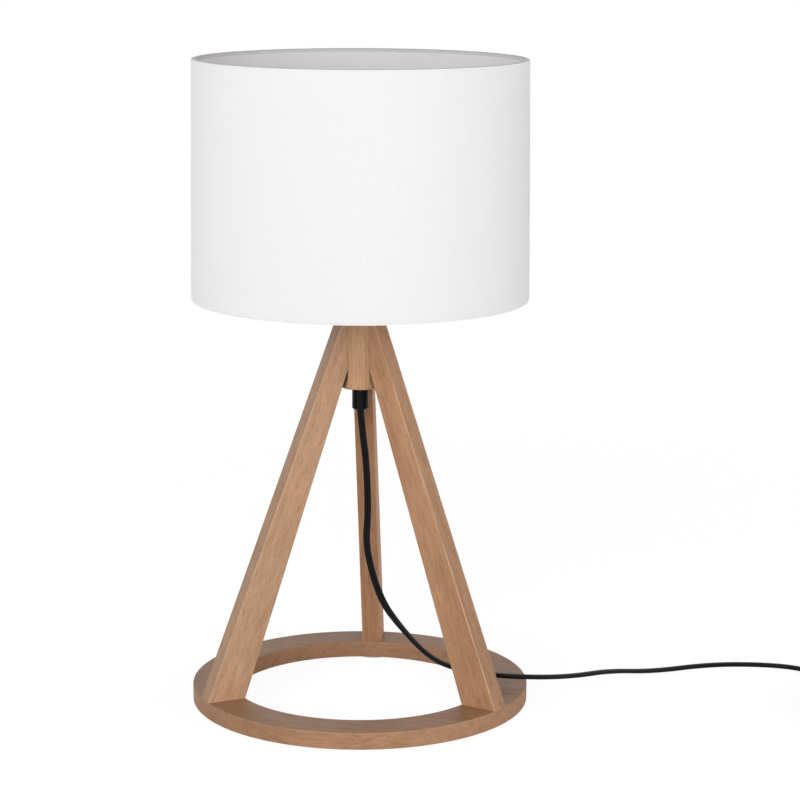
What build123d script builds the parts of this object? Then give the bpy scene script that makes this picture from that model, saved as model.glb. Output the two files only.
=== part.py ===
from build123d import *
import math
import os

# Bedside lamp: a wooden tripod on a wooden ring, a white drum shade and a black flat flex.
# Millimetres, +Z up. The origin is the centre of the ring, on the surface that the lamp stands on.

# Running and glue clearances
GLUE = 0.05
SLIP = 0.1
LAMINATE = 0.05

# Base ring and its felt pads
PAD_T = 1.5
PAD_R = 12.0
RING_OUT_R = 125.0
RING_W = 29.5
RING_T = 12.5
ARRIS = 0.8

# Legs: flat tapering boards that stand on the ring and lean in to the hub
LEG_AZIMUTHS = {"leg_rear": 90.0, "leg_left": 210.0, "leg_right": 330.0}
LEG_W = 14.6
LEG_RISE = 272.5
LEG_TOP_DEPTH = 6.6
LEG_SEAT_H = 28.0

# Screws and dowels that hold the legs
FOOT_SCREW_INSET = 8.5
FOOT_SCREW_R = 2.0
FOOT_SCREW_HEAD_R = 4.0
FOOT_SCREW_L = 38.0
FOOT_SCREW_TIP = 4.0
FOOT_SCREW_SINK = 0.4
FOOT_SCREW_DRIVE = 2.4
FOOT_SCREW_DRIVE_DEPTH = 1.4
FOOT_DOWEL_INSET = 11.0
DOWEL_R = 2.5
FOOT_DOWEL_L = 16.0
HUB_DOWEL_L = 10.0
HUB_DOWEL_IN = 3.5
HUB_DOWEL_DROP = 12.0

# Hub
HUB_R = 15.3
HUB_H = 48.6
HUB_SEAT_R = 11.0

# Threaded tube, its washer and lock nut
TUBE_R = 5.0
TUBE_BORE_R = 3.8
TUBE_IN_CAP = 7.0
TUBE_CHAMFER = 0.4
WASHER_R = 9.5
WASHER_T = 1.2
NUT_FLATS = 14.0
NUT_T = 4.0
NUT_CORNER_R = 7.8

# Cord grip under the hub
GRIP_R = 6.1
GRIP_H = 16.9
GRIP_CHAMFER = 1.2
GRIP_THREAD_L = 9.0
GRIP_SCREW_R = 1.5
GRIP_SCREW_UP = 4.5
GRIP_SCREW_SLOT = 0.6

# Lampholder for a 27 mm screw cap
CAP_H = 20.0
CAP_SHOULDER = 11.0
CAP_FOOT_R = 11.0
CAP_RIM_R = 19.2
CAP_WALL = 2.2
CAP_FLOOR_T = 6.0
BODY_THREAD_R = 19.7
BODY_H = 35.0
BODY_BORE_R = 16.6
FLANGE_R = 23.0
FLANGE_T = 3.0
LIP_T = 2.0
LIP_R = 14.4
CORE_DROP = 3.2
CORE_T = 7.5
BOSS_R = 12.6
BOSS_H = 3.0
SHELL_BORE_R = 13.3
SHELL_WALL = 0.5
SHELL_H = 27.0
COLLAR_H = 5.6
CONTACT_T = 0.5
CONTACT_W = 5.0
CONTACT_L = 11.0
CONTACT_LIFT = 14.0
TERMINAL_R = 1.6
TERMINAL_HEAD_R = 2.8
TERMINAL_HEAD_T = 1.8
TERMINAL_DEPTH = 5.0
TERMINAL_OFFSET = 9.0
SHEATH_PROUD = 1.5
CORE_WIRE_R = 0.9
CORE_WIRE_GAP = 1.3
CORE_WIRE_SPREAD = 6.5

# Shade, its wire frame and the ring that clamps it
SHADE_CLEAR = 17.0
SHADE_H = 174.0
SHADE_R = 123.0
SHADE_TAPER = 1.8
COVER_T = 0.6
LINER_T = 0.5
WIRE_R = 1.5
HEM_T = 0.6
HEM_TAIL = 7.0
HEM_GAP = 0.15
FITTER_R = 28.0
FITTER_BORE_CLEAR = 0.5
FITTER_T = 1.4
ARM_START = 1.0
ARM_AZIMUTHS = (30.0, 150.0, 270.0)
CLAMP_R = 26.3
CLAMP_H = 7.0
CLAMP_GRIPS = 12
CLAMP_GRIP_R = 3.0
CLAMP_THREAD_CLEAR = 0.15

# Flex
CORD_R = 2.6
FLOOR_GAP = 0.1
COIL_OUTER_R = 37.0
COIL_PITCH = 5.9
COIL_TURNS = 2.5
COIL_NODES_A_TURN = 4
TIE_T = 0.6
TIE_W = 4.0
TIE_CLEAR = 0.25

# Rocker switch on the flex
SWITCH_L = 62.0
SWITCH_W = 26.0
SWITCH_H = 16.0
SWITCH_SPLIT = 7.0
SWITCH_WALL = 1.8
SWITCH_ROUND = 3.0
SWITCH_CORD_IN = 8.0
ROCKER_L = 17.0
ROCKER_W = 9.6
ROCKER_GAP = 0.6
ROCKER_PIVOT_UP = 11.6
ROCKER_TILT = 8.0
ROCKER_RISE = 5.8
ROCKER_DISH = 1.1
ROCKER_DROP = 3.0
ROCKER_FOOT = 10.2
PIN_R = 1.0
LUG_T = 1.8
LUG_H = 4.6
LUG_L = 6.0
BRIDGE_T = 0.6
BRIDGE_L = 9.0
BRIDGE_W = 4.0
STUD_R = 2.2
STUD_H = 3.2
STUD_APART = 30.0
STRIP_T = 0.8
STRIP_END = 2.0
STRIP_W = 4.0
CASE_SCREW_R = 1.4
CASE_SCREW_HEAD_R = 2.6
CASE_SCREW_HEAD_T = 1.6
CASE_SCREW_L = 11.0
CASE_SCREW_APART = 44.0
CASE_SCREW_ASIDE = 8.0
CASE_POST_R = 2.9

# Two-pin plug
PLUG_W = 35.0
PLUG_T = 13.6
PLUG_L = 33.0
PLUG_NECK_W = 17.0
PLUG_WAIST = 15.0
PLUG_ROUND = 3.0
PLUG_RIM = 1.8
PLUG_PIN_R = 2.0
PLUG_PIN_L = 19.0
PLUG_PIN_TIP = 1.2
PLUG_PIN_ROOT = 8.0
PLUG_PIN_ROOT_R = 1.7
PLUG_PIN_APART = 19.0
RELIEF_L = 20.0
RELIEF_TIP_R = 3.6
RELIEF_ROOT_R = 5.4
RELIEF_RIBS = 5
RELIEF_RIB_DEPTH = 0.7

# Heights and radii that follow from the sizes above
RING_TOP = PAD_T + RING_T
RING_IN_R = RING_OUT_R - RING_W
HUB_TOP = RING_TOP + LEG_RISE
HUB_BOTTOM = HUB_TOP - HUB_H
GRIP_BOTTOM = HUB_BOTTOM - GRIP_H
NUT_BOTTOM = HUB_TOP + WASHER_T
CAP_BOTTOM = NUT_BOTTOM + NUT_T
BODY_BOTTOM = CAP_BOTTOM + CAP_H
BODY_TOP = BODY_BOTTOM + BODY_H
FLANGE_TOP = BODY_BOTTOM + FLANGE_T
FITTER_BOTTOM = FLANGE_TOP + LAMINATE
CLAMP_BOTTOM = FITTER_BOTTOM + FITTER_T + LAMINATE
SHADE_BOTTOM = HUB_TOP + SHADE_CLEAR
SHADE_TOP = SHADE_BOTTOM + SHADE_H
CORE_BOTTOM = BODY_BOTTOM - CORE_DROP
CORE_TOP = CORE_BOTTOM + CORE_T
INNER_CORD_TOP = CAP_BOTTOM + TUBE_IN_CAP + SHEATH_PROUD
HEM_R = WIRE_R + HEM_T
CORD_FLOOR_Z = CORD_R + FLOOR_GAP

# Switch, coil and plug lie on the floor to the right of the lamp
SWITCH_CORD_Z = SWITCH_SPLIT
COIL_LOW_Z = TIE_T + TIE_CLEAR + CORD_R
COIL_HIGH_Z = COIL_LOW_Z + COIL_PITCH

# Route of the flex from the grip, over the ring and along the floor to the switch
LAMP_ROUTE = [
    (0.0, 0.0, GRIP_BOTTOM),
    (0.0, 0.0, 207.0),
    (4.5, 0.5, 180.0),
    (5.8, 0.5, 143.0),
    (4.2, -0.5, 116.0),
    (14.8, -1.5, 77.0),
    (30.5, -3.0, 55.5),
    (51.0, -4.0, 34.5),
    (71.0, -5.0, 26.2),
    (99.0, -4.5, 22.4),
    (133.5, -4.5, 22.0),
    (161.0, 17.0, 16.5),
    (187.0, 44.0, 11.0),
    (220.0, 73.0, CORD_FLOOR_Z),
    (264.0, 95.0, CORD_FLOOR_Z),
    (303.0, 104.0, CORD_FLOOR_Z),
    (334.0, 98.0, CORD_FLOOR_Z),
    (348.0, 74.0, 4.6),
    (350.0, 50.0, SWITCH_CORD_Z),
    (350.0, 36.0, SWITCH_CORD_Z),
]
SWITCH_X = LAMP_ROUTE[-1][0]
SWITCH_Y = LAMP_ROUTE[-1][1] + SWITCH_CORD_IN
SWITCH_END_Y = SWITCH_Y - SWITCH_L
LINK_START_Y = SWITCH_END_Y + SWITCH_CORD_IN

# Short link from the switch to the coil
LINK_ROUTE = [
    (SWITCH_X, LINK_START_Y, SWITCH_CORD_Z),
    (SWITCH_X, LINK_START_Y - 18.0, SWITCH_CORD_Z),
    (SWITCH_X, LINK_START_Y - 36.0, COIL_LOW_Z),
    (SWITCH_X, LINK_START_Y - 50.0, COIL_LOW_Z),
]
COIL_LEAD = 2 * CORD_R
COIL_X = SWITCH_X + COIL_OUTER_R
COIL_Y = LINK_ROUTE[-1][1] - COIL_LEAD

# Tail from the coil's top layer down to the plug
TAIL_X = COIL_X + COIL_OUTER_R
TAIL_Y = COIL_Y + COIL_LEAD
PLUG_CORD_Z = PLUG_T / 2
TAIL_ROUTE = [
    (TAIL_X, TAIL_Y, COIL_HIGH_Z),
    (TAIL_X, TAIL_Y + 16.0, COIL_HIGH_Z),
    (TAIL_X - 11.0, TAIL_Y + 38.0, 8.2),
    (TAIL_X - 21.0, TAIL_Y + 58.0, PLUG_CORD_Z),
    (TAIL_X - 21.0, TAIL_Y + 74.0, PLUG_CORD_Z),
]
PLUG_X, PLUG_START_Y, _ = TAIL_ROUTE[-1]


def turned(*outline):
    """Solid of revolution about Z from a closed outline of (radius, height) points."""
    corners = [(radius, 0, height) for radius, height in outline]
    return revolve(make_face(Polyline(*corners, close=True)), Axis.Z)


def tube(outer, inner, low, high):
    """Upright tube about Z between two heights."""
    return turned((inner, low), (outer, low), (outer, high), (inner, high))


def rod(radius, start, end):
    """Round rod between two points."""
    run = Vector(*end) - Vector(*start)
    return extrude(Plane(start, z_dir=run) * Circle(radius), run.length)


def turned_about(azimuth, shape):
    """The shape, made along +X, turned about Z to an azimuth."""
    return Rot(0, 0, azimuth) * shape


def group(shapes):
    """Separate solids kept together in one node."""
    return Compound(children=[solid for shape in shapes for solid in shape.solids()])


def long_edges(shape, length):
    """Edges of a board that run along it."""
    return [edge for edge in shape.edges() if edge.length > length]


# Base ring, pads, foot screws and foot dowels


def foot_screw_radius():
    return RING_IN_R + FOOT_SCREW_INSET


def foot_dowel_radius():
    return RING_OUT_R - FOOT_DOWEL_INSET


def screw_head_bottom():
    return PAD_T + FOOT_SCREW_SINK


def foot_screw_hole(clearance):
    """Countersunk hole for one foot screw, open at the ring's underside."""
    radius = FOOT_SCREW_R + clearance
    head = FOOT_SCREW_HEAD_R + clearance
    low = screw_head_bottom()
    outline = [(0, PAD_T), (head, PAD_T), (head, low), (radius, low + head - radius)]
    outline += [(radius, low + FOOT_SCREW_L), (0, low + FOOT_SCREW_L)]
    return Pos(foot_screw_radius(), 0, 0) * turned(*outline)


def foot_dowel(clearance):
    """Upright dowel half in the ring and half in the foot of a leg."""
    half = FOOT_DOWEL_L / 2 + clearance
    at = foot_dowel_radius()
    return rod(DOWEL_R + clearance, (at, 0, RING_TOP - half), (at, 0, RING_TOP + half))


def base_ring():
    ring = tube(RING_OUT_R, RING_IN_R, PAD_T, RING_TOP)
    ring = fillet(ring.edges(), ARRIS)
    for azimuth in LEG_AZIMUTHS.values():
        ring -= turned_about(azimuth, foot_screw_hole(SLIP))
        ring -= turned_about(azimuth, foot_dowel(GLUE))
    return ring


def felt_pads():
    at = (RING_OUT_R + RING_IN_R) / 2
    pad = Pos(at, 0, PAD_T / 2) * Cylinder(PAD_R, PAD_T)
    return group([turned_about(azimuth, pad) for azimuth in LEG_AZIMUTHS.values()])


def foot_screw():
    low = screw_head_bottom()
    cone_top = low + FOOT_SCREW_HEAD_R - FOOT_SCREW_R
    tip = low + FOOT_SCREW_L - SLIP
    shank = turned(
        (0, low),
        (FOOT_SCREW_HEAD_R, low),
        (FOOT_SCREW_R, cone_top),
        (FOOT_SCREW_R, tip - FOOT_SCREW_TIP),
        (0, tip),
    )
    drive = Box(FOOT_SCREW_DRIVE, FOOT_SCREW_DRIVE, 2 * FOOT_SCREW_DRIVE_DEPTH)
    return Pos(foot_screw_radius(), 0, 0) * (shank - Pos(0, 0, low) * drive)


def foot_screws():
    return group([turned_about(azimuth, foot_screw()) for azimuth in LEG_AZIMUTHS.values()])


def foot_dowels():
    return group([turned_about(azimuth, foot_dowel(0)) for azimuth in LEG_AZIMUTHS.values()])


# Legs and hub


def hub_dowel(clearance):
    """Short dowel square to the seat between a leg and the hub."""
    start = HUB_SEAT_R - HUB_DOWEL_IN - clearance
    height = HUB_TOP - HUB_DOWEL_DROP
    return rod(DOWEL_R + clearance, (start, 0, height), (start + HUB_DOWEL_L + 2 * clearance, 0, height))


def hub_dowels():
    return group([turned_about(azimuth, hub_dowel(0)) for azimuth in LEG_AZIMUTHS.values()])


def leg_board():
    """One leg along +X: upright seat at the hub, tapering down to the width of the ring."""
    seat = HUB_SEAT_R + GLUE
    outline = Polyline(
        (RING_IN_R, 0, RING_TOP),
        (RING_OUT_R, 0, RING_TOP),
        (seat + LEG_TOP_DEPTH, 0, HUB_TOP),
        (seat, 0, HUB_TOP),
        (seat, 0, HUB_TOP - LEG_SEAT_H),
        close=True,
    )
    board = extrude(make_face(outline), LEG_W / 2, both=True)
    board = fillet(long_edges(board, LEG_RISE / 2), ARRIS)
    return board - foot_screw_hole(SLIP) - foot_dowel(GLUE) - hub_dowel(GLUE)


def hub():
    """Turned hub with an upright notch for each leg and a bore for the threaded tube."""
    block = Pos(0, 0, HUB_BOTTOM) * Cylinder(HUB_R, HUB_H, align=(Align.CENTER, Align.CENTER, Align.MIN))
    block = fillet(block.edges().sort_by(Axis.Z)[0], ARRIS)
    block -= tube(TUBE_R + SLIP, 0, HUB_BOTTOM, HUB_TOP)
    notch = Pos(HUB_SEAT_R, 0, HUB_BOTTOM) * Box(
        HUB_R, LEG_W + 2 * GLUE, HUB_H, align=(Align.MIN, Align.CENTER, Align.MIN)
    )
    for azimuth in LEG_AZIMUTHS.values():
        block -= turned_about(azimuth, notch)
        block -= turned_about(azimuth, hub_dowel(GLUE))
    return block


# Threaded tube, washer, lock nut and cord grip


def threaded_tube():
    low = HUB_BOTTOM - GRIP_THREAD_L + SLIP
    high = CAP_BOTTOM + TUBE_IN_CAP
    pipe = tube(TUBE_R, TUBE_BORE_R, low, high)
    return chamfer(pipe.edges().group_by(Axis.Z)[-1].sort_by(SortBy.RADIUS)[-1], TUBE_CHAMFER)


def hub_washer():
    return tube(WASHER_R, TUBE_R + SLIP, HUB_TOP, NUT_BOTTOM)


def lock_nut():
    """Hexagon nut with its corners turned down."""
    nut = extrude(Plane.XY.offset(NUT_BOTTOM) * RegularPolygon(NUT_FLATS / 2, 6, major_radius=False), NUT_T)
    return nut & tube(NUT_CORNER_R, TUBE_R + GLUE, NUT_BOTTOM, CAP_BOTTOM)


def grip_screw_height():
    return GRIP_BOTTOM + GRIP_SCREW_UP


def cord_grip():
    """Moulded grip on the lower end of the tube, with a clamping screw at the back."""
    body = Pos(0, 0, GRIP_BOTTOM) * Cylinder(GRIP_R, GRIP_H, align=(Align.CENTER, Align.CENTER, Align.MIN))
    body = chamfer(body.edges().sort_by(Axis.Z)[0], GRIP_CHAMFER)
    body -= tube(TUBE_R + GLUE, 0, HUB_BOTTOM - GRIP_THREAD_L, HUB_BOTTOM)
    body -= tube(CORD_R + SLIP, 0, GRIP_BOTTOM, HUB_BOTTOM)
    height = grip_screw_height()
    return body - rod(GRIP_SCREW_R + GLUE, (0, 0, height), (0, GRIP_R, height))


def grip_screw():
    height = grip_screw_height()
    start = CORD_R + GLUE
    pin = rod(GRIP_SCREW_R, (0, start, height), (0, GRIP_R, height))
    slot = Pos(0, GRIP_R, height) * Box(2 * GRIP_SCREW_R, 2 * GRIP_SCREW_SLOT, GRIP_SCREW_SLOT)
    return pin - slot


def inner_cord():
    """The flex where it runs up inside the grip and the tube."""
    return rod(CORD_R, (0, 0, GRIP_BOTTOM), (0, 0, INNER_CORD_TOP))


def core_wires():
    """The two cores, bent apart from the end of the sheath to the terminals."""
    middle = (INNER_CORD_TOP + CORE_BOTTOM) / 2
    wires = []
    for side in (-1, 1):
        near = side * CORE_WIRE_GAP
        far = side * CORE_WIRE_SPREAD
        bend = (CORE_BOTTOM - INNER_CORD_TOP) / 4
        corners = [
            (near, 0, INNER_CORD_TOP),
            (near, 0, middle - bend),
            (far, 0, middle + bend),
            (far, 0, CORE_BOTTOM),
        ]
        path = FilletPolyline(*corners, radius=bend)
        wires.append(sweep(Plane(corners[0]) * Circle(CORE_WIRE_R), path=path))
    return group(wires)


# Lampholder


def holder_cap():
    """Domed cap that screws onto the tube and holds the wiring."""
    bore = TUBE_R + GLUE
    shoulder = CAP_BOTTOM + CAP_SHOULDER
    floor = CAP_BOTTOM + CAP_FLOOR_T
    inside = CAP_RIM_R - CAP_WALL
    return turned(
        (bore, CAP_BOTTOM),
        (CAP_FOOT_R, CAP_BOTTOM),
        (CAP_RIM_R, shoulder),
        (CAP_RIM_R, BODY_BOTTOM),
        (inside, BODY_BOTTOM),
        (inside, shoulder),
        (CAP_FOOT_R, floor),
        (bore, floor),
    )


def holder_body():
    """Outer sleeve: flange for the shade below, thread for the clamp ring, guard lip on top."""
    under_lip = BODY_TOP - LIP_T
    return turned(
        (BODY_BORE_R, BODY_BOTTOM),
        (FLANGE_R, BODY_BOTTOM),
        (FLANGE_R, FLANGE_TOP),
        (BODY_THREAD_R, FLANGE_TOP),
        (BODY_THREAD_R, BODY_TOP),
        (LIP_R, BODY_TOP),
        (LIP_R, under_lip),
        (BODY_BORE_R, under_lip),
    )


def terminal_spots():
    return [(0, side * TERMINAL_OFFSET) for side in (-1, 1)]


def holder_core():
    """Insulating core that carries the contacts."""
    core = tube(BODY_BORE_R - SLIP, 0, CORE_BOTTOM, CORE_TOP) + tube(BOSS_R, 0, CORE_TOP, CORE_TOP + BOSS_H)
    for x, y in terminal_spots():
        core -= rod(TERMINAL_R + GLUE, (x, y, CORE_BOTTOM), (x, y, CORE_BOTTOM + TERMINAL_DEPTH + GLUE))
    return core


def screw_shell():
    """Brass shell that takes the bulb's cap, with a collar round the boss and a flange on the core."""
    outer = SHELL_BORE_R + SHELL_WALL
    collar = BOSS_R + SLIP
    step = CORE_TOP + COLLAR_H
    return turned(
        (collar, CORE_TOP),
        (BODY_BORE_R - SLIP, CORE_TOP),
        (BODY_BORE_R - SLIP, CORE_TOP + SHELL_WALL),
        (outer, CORE_TOP + SHELL_WALL),
        (outer, CORE_TOP + SHELL_H),
        (SHELL_BORE_R, CORE_TOP + SHELL_H),
        (SHELL_BORE_R, step),
        (collar, step),
    )


def centre_contact():
    """Sprung tongue on the boss, lifted at its free end."""
    seat = CORE_TOP + BOSS_H
    low = (Align.CENTER, Align.MIN, Align.MIN)
    foot = Box(CONTACT_W, CONTACT_L / 2, CONTACT_T, align=low)
    tongue = Rot(CONTACT_LIFT, 0, 0) * Box(CONTACT_W, CONTACT_L / 2, CONTACT_T, align=low)
    return Pos(0, -CONTACT_L / 2, seat) * foot + Pos(0, 0, seat) * tongue


def terminal_screws():
    screws = []
    for x, y in terminal_spots():
        shank = rod(TERMINAL_R, (x, y, CORE_BOTTOM), (x, y, CORE_BOTTOM + TERMINAL_DEPTH))
        head = rod(TERMINAL_HEAD_R, (x, y, CORE_BOTTOM - TERMINAL_HEAD_T), (x, y, CORE_BOTTOM))
        slot = Pos(x, y, CORE_BOTTOM - TERMINAL_HEAD_T) * Box(2 * TERMINAL_HEAD_R, CONTACT_T, 2 * CONTACT_T)
        screws.append(shank + head - slot)
    return group(screws)


# Shade


def shade_radius(height, inset):
    """Radius of the slightly conical drum at a height, measured a little way in from its outside."""
    share = (height - SHADE_BOTTOM) / SHADE_H
    return SHADE_R - SHADE_TAPER * share - inset


def drum(outset, inset):
    """Thin conical wall between two insets from the outside of the drum."""
    return turned(
        (shade_radius(SHADE_BOTTOM, inset), SHADE_BOTTOM),
        (shade_radius(SHADE_BOTTOM, outset), SHADE_BOTTOM),
        (shade_radius(SHADE_TOP, outset), SHADE_TOP),
        (shade_radius(SHADE_TOP, inset), SHADE_TOP),
    )


LINER_OUTSET = COVER_T + LAMINATE
WALL = LINER_OUTSET + LINER_T


def shade_cover():
    return drum(0, COVER_T)


def shade_liner():
    return drum(LINER_OUTSET, WALL)


def wire_height(end):
    """Height of the wire in the bottom (-1) or top (+1) hem."""
    edge = SHADE_TOP if end > 0 else SHADE_BOTTOM
    return edge - end * HEM_R


def wire_ring_radius(end):
    height = wire_height(end)
    return min(shade_radius(height + side * HEM_R, WALL) for side in (-1, 1)) - HEM_R - HEM_GAP


def wire_ring(end, clearance):
    at = wire_ring_radius(end)
    circle = Plane((at, 0, wire_height(end)), z_dir=(0, 1, 0)) * Circle(WIRE_R + clearance)
    return revolve(circle, Axis.Z)


def spider_arms(radius):
    """Three straight arms from the fitter down to the bottom wire."""
    start = FITTER_R - ARM_START
    end = wire_ring_radius(-1)
    arm = rod(radius, (start, 0, FITTER_BOTTOM + FITTER_T / 2), (end, 0, wire_height(-1)))
    return [turned_about(azimuth, arm) for azimuth in ARM_AZIMUTHS]


def hem(end):
    """Cloth rolled round a wire, with its tail lying against the liner."""
    height = wire_height(end)
    at = wire_ring_radius(end)
    tail_end = height - end * HEM_TAIL
    roll = revolve(Plane((at, 0, height), z_dir=(0, 1, 0)) * Circle(HEM_R), Axis.Z)
    near = [shade_radius(z, WALL + HEM_GAP) for z in (height, tail_end)]
    tail = turned(
        (near[0] - HEM_T, height),
        (near[0], height),
        (near[1], tail_end),
        (near[1] - HEM_T, tail_end),
    )
    cloth = roll + tail - wire_ring(end, SLIP)
    if end < 0:
        for arm in spider_arms(WIRE_R + 2 * SLIP):
            cloth -= arm
    return cloth


def shade_spider():
    """Fitter washer and its arms, welded into one piece and cut to sit on the bottom wire."""
    fitter = tube(FITTER_R, BODY_THREAD_R + FITTER_BORE_CLEAR, FITTER_BOTTOM, FITTER_BOTTOM + FITTER_T)
    for arm in spider_arms(WIRE_R):
        fitter += arm
    return fitter - wire_ring(-1, GLUE)


def clamp_ring():
    """Threaded ring that holds the fitter down on the flange, scalloped for the fingers."""
    top = CLAMP_BOTTOM + CLAMP_H
    ring = tube(CLAMP_R, BODY_THREAD_R + CLAMP_THREAD_CLEAR, CLAMP_BOTTOM, top)
    at = CLAMP_R + CLAMP_GRIP_R / 2
    scallop = rod(CLAMP_GRIP_R, (at, 0, CLAMP_BOTTOM), (at, 0, top))
    for step in range(CLAMP_GRIPS):
        ring -= turned_about(step * 360 / CLAMP_GRIPS, scallop)
    return ring


# Flex: lamp to switch, switch to coil, coil, coil to plug


def bend_radii(points):
    """Largest tangent arc at each corner: 0.45 of the shorter run over the tangent of half the turn."""
    runs = [Vector(*b) - Vector(*a) for a, b in zip(points, points[1:])]
    radii = []
    for before, after in zip(runs, runs[1:]):
        half_turn = math.radians(before.get_angle(after)) / 2
        radii.append(0.45 * min(before.length, after.length) / math.tan(half_turn))
    return radii


def cord_tube(name, points):
    """Round tube along straight runs joined by tangent arcs."""
    radii = bend_radii(points)
    path = FilletPolyline(*points, radius=radii)
    start = Plane(points[0], z_dir=path % 0)
    solid = sweep(start * Circle(CORD_R), path=path)
    section = math.pi * CORD_R**2
    print(name, "length", round(path.length, 1), "tightest bend", round(min(radii), 1))
    print(name, "volume over section times length", round(solid.volume / (section * path.length), 4))
    return solid


def coil_point(turn):
    """Centre of the coiled flex: in by one pitch a turn, up a layer in half a turn, out again."""
    inner = COIL_OUTER_R - COIL_PITCH * COIL_TURNS
    climb = turn - COIL_TURNS
    if climb <= 0:
        radius = COIL_OUTER_R - COIL_PITCH * turn
        height = COIL_LOW_Z
    elif climb < 0.5:
        radius = inner - COIL_PITCH * climb * (1 - 2 * climb)
        height = COIL_LOW_Z + (COIL_HIGH_Z - COIL_LOW_Z) * (1 - math.cos(2 * math.pi * climb)) / 2
    else:
        radius = inner + COIL_PITCH * (climb - 0.5)
        height = COIL_HIGH_Z
    angle = math.pi * (1 + 2 * turn)
    return Vector(COIL_X + radius * math.cos(angle), COIL_Y + radius * math.sin(angle), height)


COIL_TOTAL_TURNS = 2 * COIL_TURNS + 0.5


def coil_tangent(turn):
    """Direction of the flex in the coil, straight along Y where it enters and leaves."""
    if turn in (0, COIL_TOTAL_TURNS):
        return Vector(0, -1 if turn == 0 else 1, 0)
    step = 1e-4
    return (coil_point(turn + step) - coil_point(turn - step)).normalized()


def biarc(start, leaving, end, arriving):
    """Two tangent arcs between two points with given directions."""
    span = end - start
    both = leaving + arriving
    squared = 2 * (1 - leaving.dot(arriving))
    along = span.dot(both)
    reach = (math.sqrt(along**2 + squared * span.dot(span)) - along) / squared
    first = start + leaving * reach
    second = end - arriving * reach
    middle = (first + second) * 0.5
    return [
        TangentArc(start, middle, tangent=leaving),
        TangentArc(middle, end, tangent=(second - first).normalized()),
    ]


def coil_self_gap():
    """Least clear distance between one stretch of the coil and another, on sampled points."""
    a_turn = 60
    count = int(COIL_TOTAL_TURNS * a_turn)
    points = [coil_point(COIL_TOTAL_TURNS * index / count) for index in range(count + 1)]
    apart = a_turn // 3
    least = min(
        (points[i] - points[j]).length for i in range(len(points)) for j in range(i + apart, len(points))
    )
    return least - 2 * CORD_R


def cord_coil():
    """The put-away length of flex, wound into two layers as one unbroken tube."""
    count = round(COIL_TOTAL_TURNS * COIL_NODES_A_TURN)
    turns = [COIL_TOTAL_TURNS * index / count for index in range(count + 1)]
    nodes = [(coil_point(turn), coil_tangent(turn)) for turn in turns]
    first = nodes[0][0] - nodes[0][1] * COIL_LEAD
    last = nodes[-1][0] + nodes[-1][1] * COIL_LEAD
    edges = [Line(first, nodes[0][0])]
    for (start, leaving), (end, arriving) in zip(nodes, nodes[1:]):
        edges += biarc(start, leaving, end, arriving)
    edges.append(Line(nodes[-1][0], last))
    path = Wire(edges)
    solid = sweep(Plane(first, z_dir=nodes[0][1]) * Circle(CORD_R), path=path)
    section = math.pi * CORD_R**2
    print("cord_coil length", round(path.length, 1), "least gap to itself", round(coil_self_gap(), 2))
    print("cord_coil volume over section times length", round(solid.volume / (section * path.length), 4))
    return solid


def cord_tie():
    """Flat tie round the front of the coil."""
    turns = [0.25 + step for step in range(int(COIL_TOTAL_TURNS) + 1) if 0.25 + step < COIL_TOTAL_TURNS]
    radii = [(coil_point(turn) - Vector(COIL_X, COIL_Y, coil_point(turn).Z)).length for turn in turns]
    near = min(radii) - CORD_R - TIE_CLEAR
    far = max(radii) + CORD_R + TIE_CLEAR
    tall = COIL_HIGH_Z - COIL_LOW_Z + 2 * (CORD_R + TIE_CLEAR)
    middle = Pos(COIL_X, COIL_Y - (near + far) / 2, (COIL_LOW_Z + COIL_HIGH_Z) / 2)
    corner = CORD_R + TIE_CLEAR
    outer = RectangleRounded(far - near + 2 * TIE_T, tall + 2 * TIE_T, corner + TIE_T)
    inner = RectangleRounded(far - near, tall, corner)
    band = extrude(Plane.YZ * (outer - inner), TIE_W / 2, both=True)
    return middle * band


# Rocker switch on the flex


SWITCH_MID_Y = SWITCH_Y - SWITCH_L / 2
SWITCH_AT = Pos(SWITCH_X, SWITCH_MID_Y, 0)
CASE_SCREW_SPOTS = [
    (side * CASE_SCREW_ASIDE, side * CASE_SCREW_APART / 2) for side in (-1, 1)
]


def switch_block(inset):
    """Rounded bar of the switch, whole or drawn in by a wall all round."""
    outline = RectangleRounded(SWITCH_W - 2 * inset, SWITCH_L - 2 * inset, SWITCH_W / 2 - SWITCH_ROUND - inset)
    bar = extrude(Plane.XY.offset(inset) * outline, SWITCH_H - 2 * inset)
    rim = bar.edges().group_by(Axis.Z)
    return fillet(rim[0] + rim[-1], SWITCH_ROUND - inset)


def case_slice(low, high):
    """Box that keeps the part of the switch between two heights."""
    keep = Box(2 * SWITCH_W, 2 * SWITCH_L, high - low, align=(Align.CENTER, Align.CENTER, Align.MIN))
    return Pos(0, 0, low) * keep


def cord_passage():
    """Hole along the switch for the flex."""
    return rod(CORD_R + GLUE, (0, -SWITCH_L, SWITCH_SPLIT), (0, SWITCH_L, SWITCH_SPLIT))


def case_posts(low, high):
    return [rod(CASE_POST_R, (x, y, low), (x, y, high)) for x, y in CASE_SCREW_SPOTS]


def case_screw_hole(x, y):
    shank = rod(CASE_SCREW_R + GLUE, (x, y, 0), (x, y, CASE_SCREW_L + GLUE))
    return shank + rod(CASE_SCREW_HEAD_R + SLIP, (x, y, 0), (x, y, CASE_SCREW_HEAD_T + GLUE))


def switch_base():
    """Lower half of the case, with screw posts and seats for the contact studs."""
    shell = (switch_block(0) - switch_block(SWITCH_WALL)) & case_slice(0, SWITCH_SPLIT)
    for post in case_posts(SWITCH_WALL, SWITCH_SPLIT):
        shell += post
    for x, y in CASE_SCREW_SPOTS:
        shell -= case_screw_hole(x, y)
    return SWITCH_AT * (shell - cord_passage())


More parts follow.
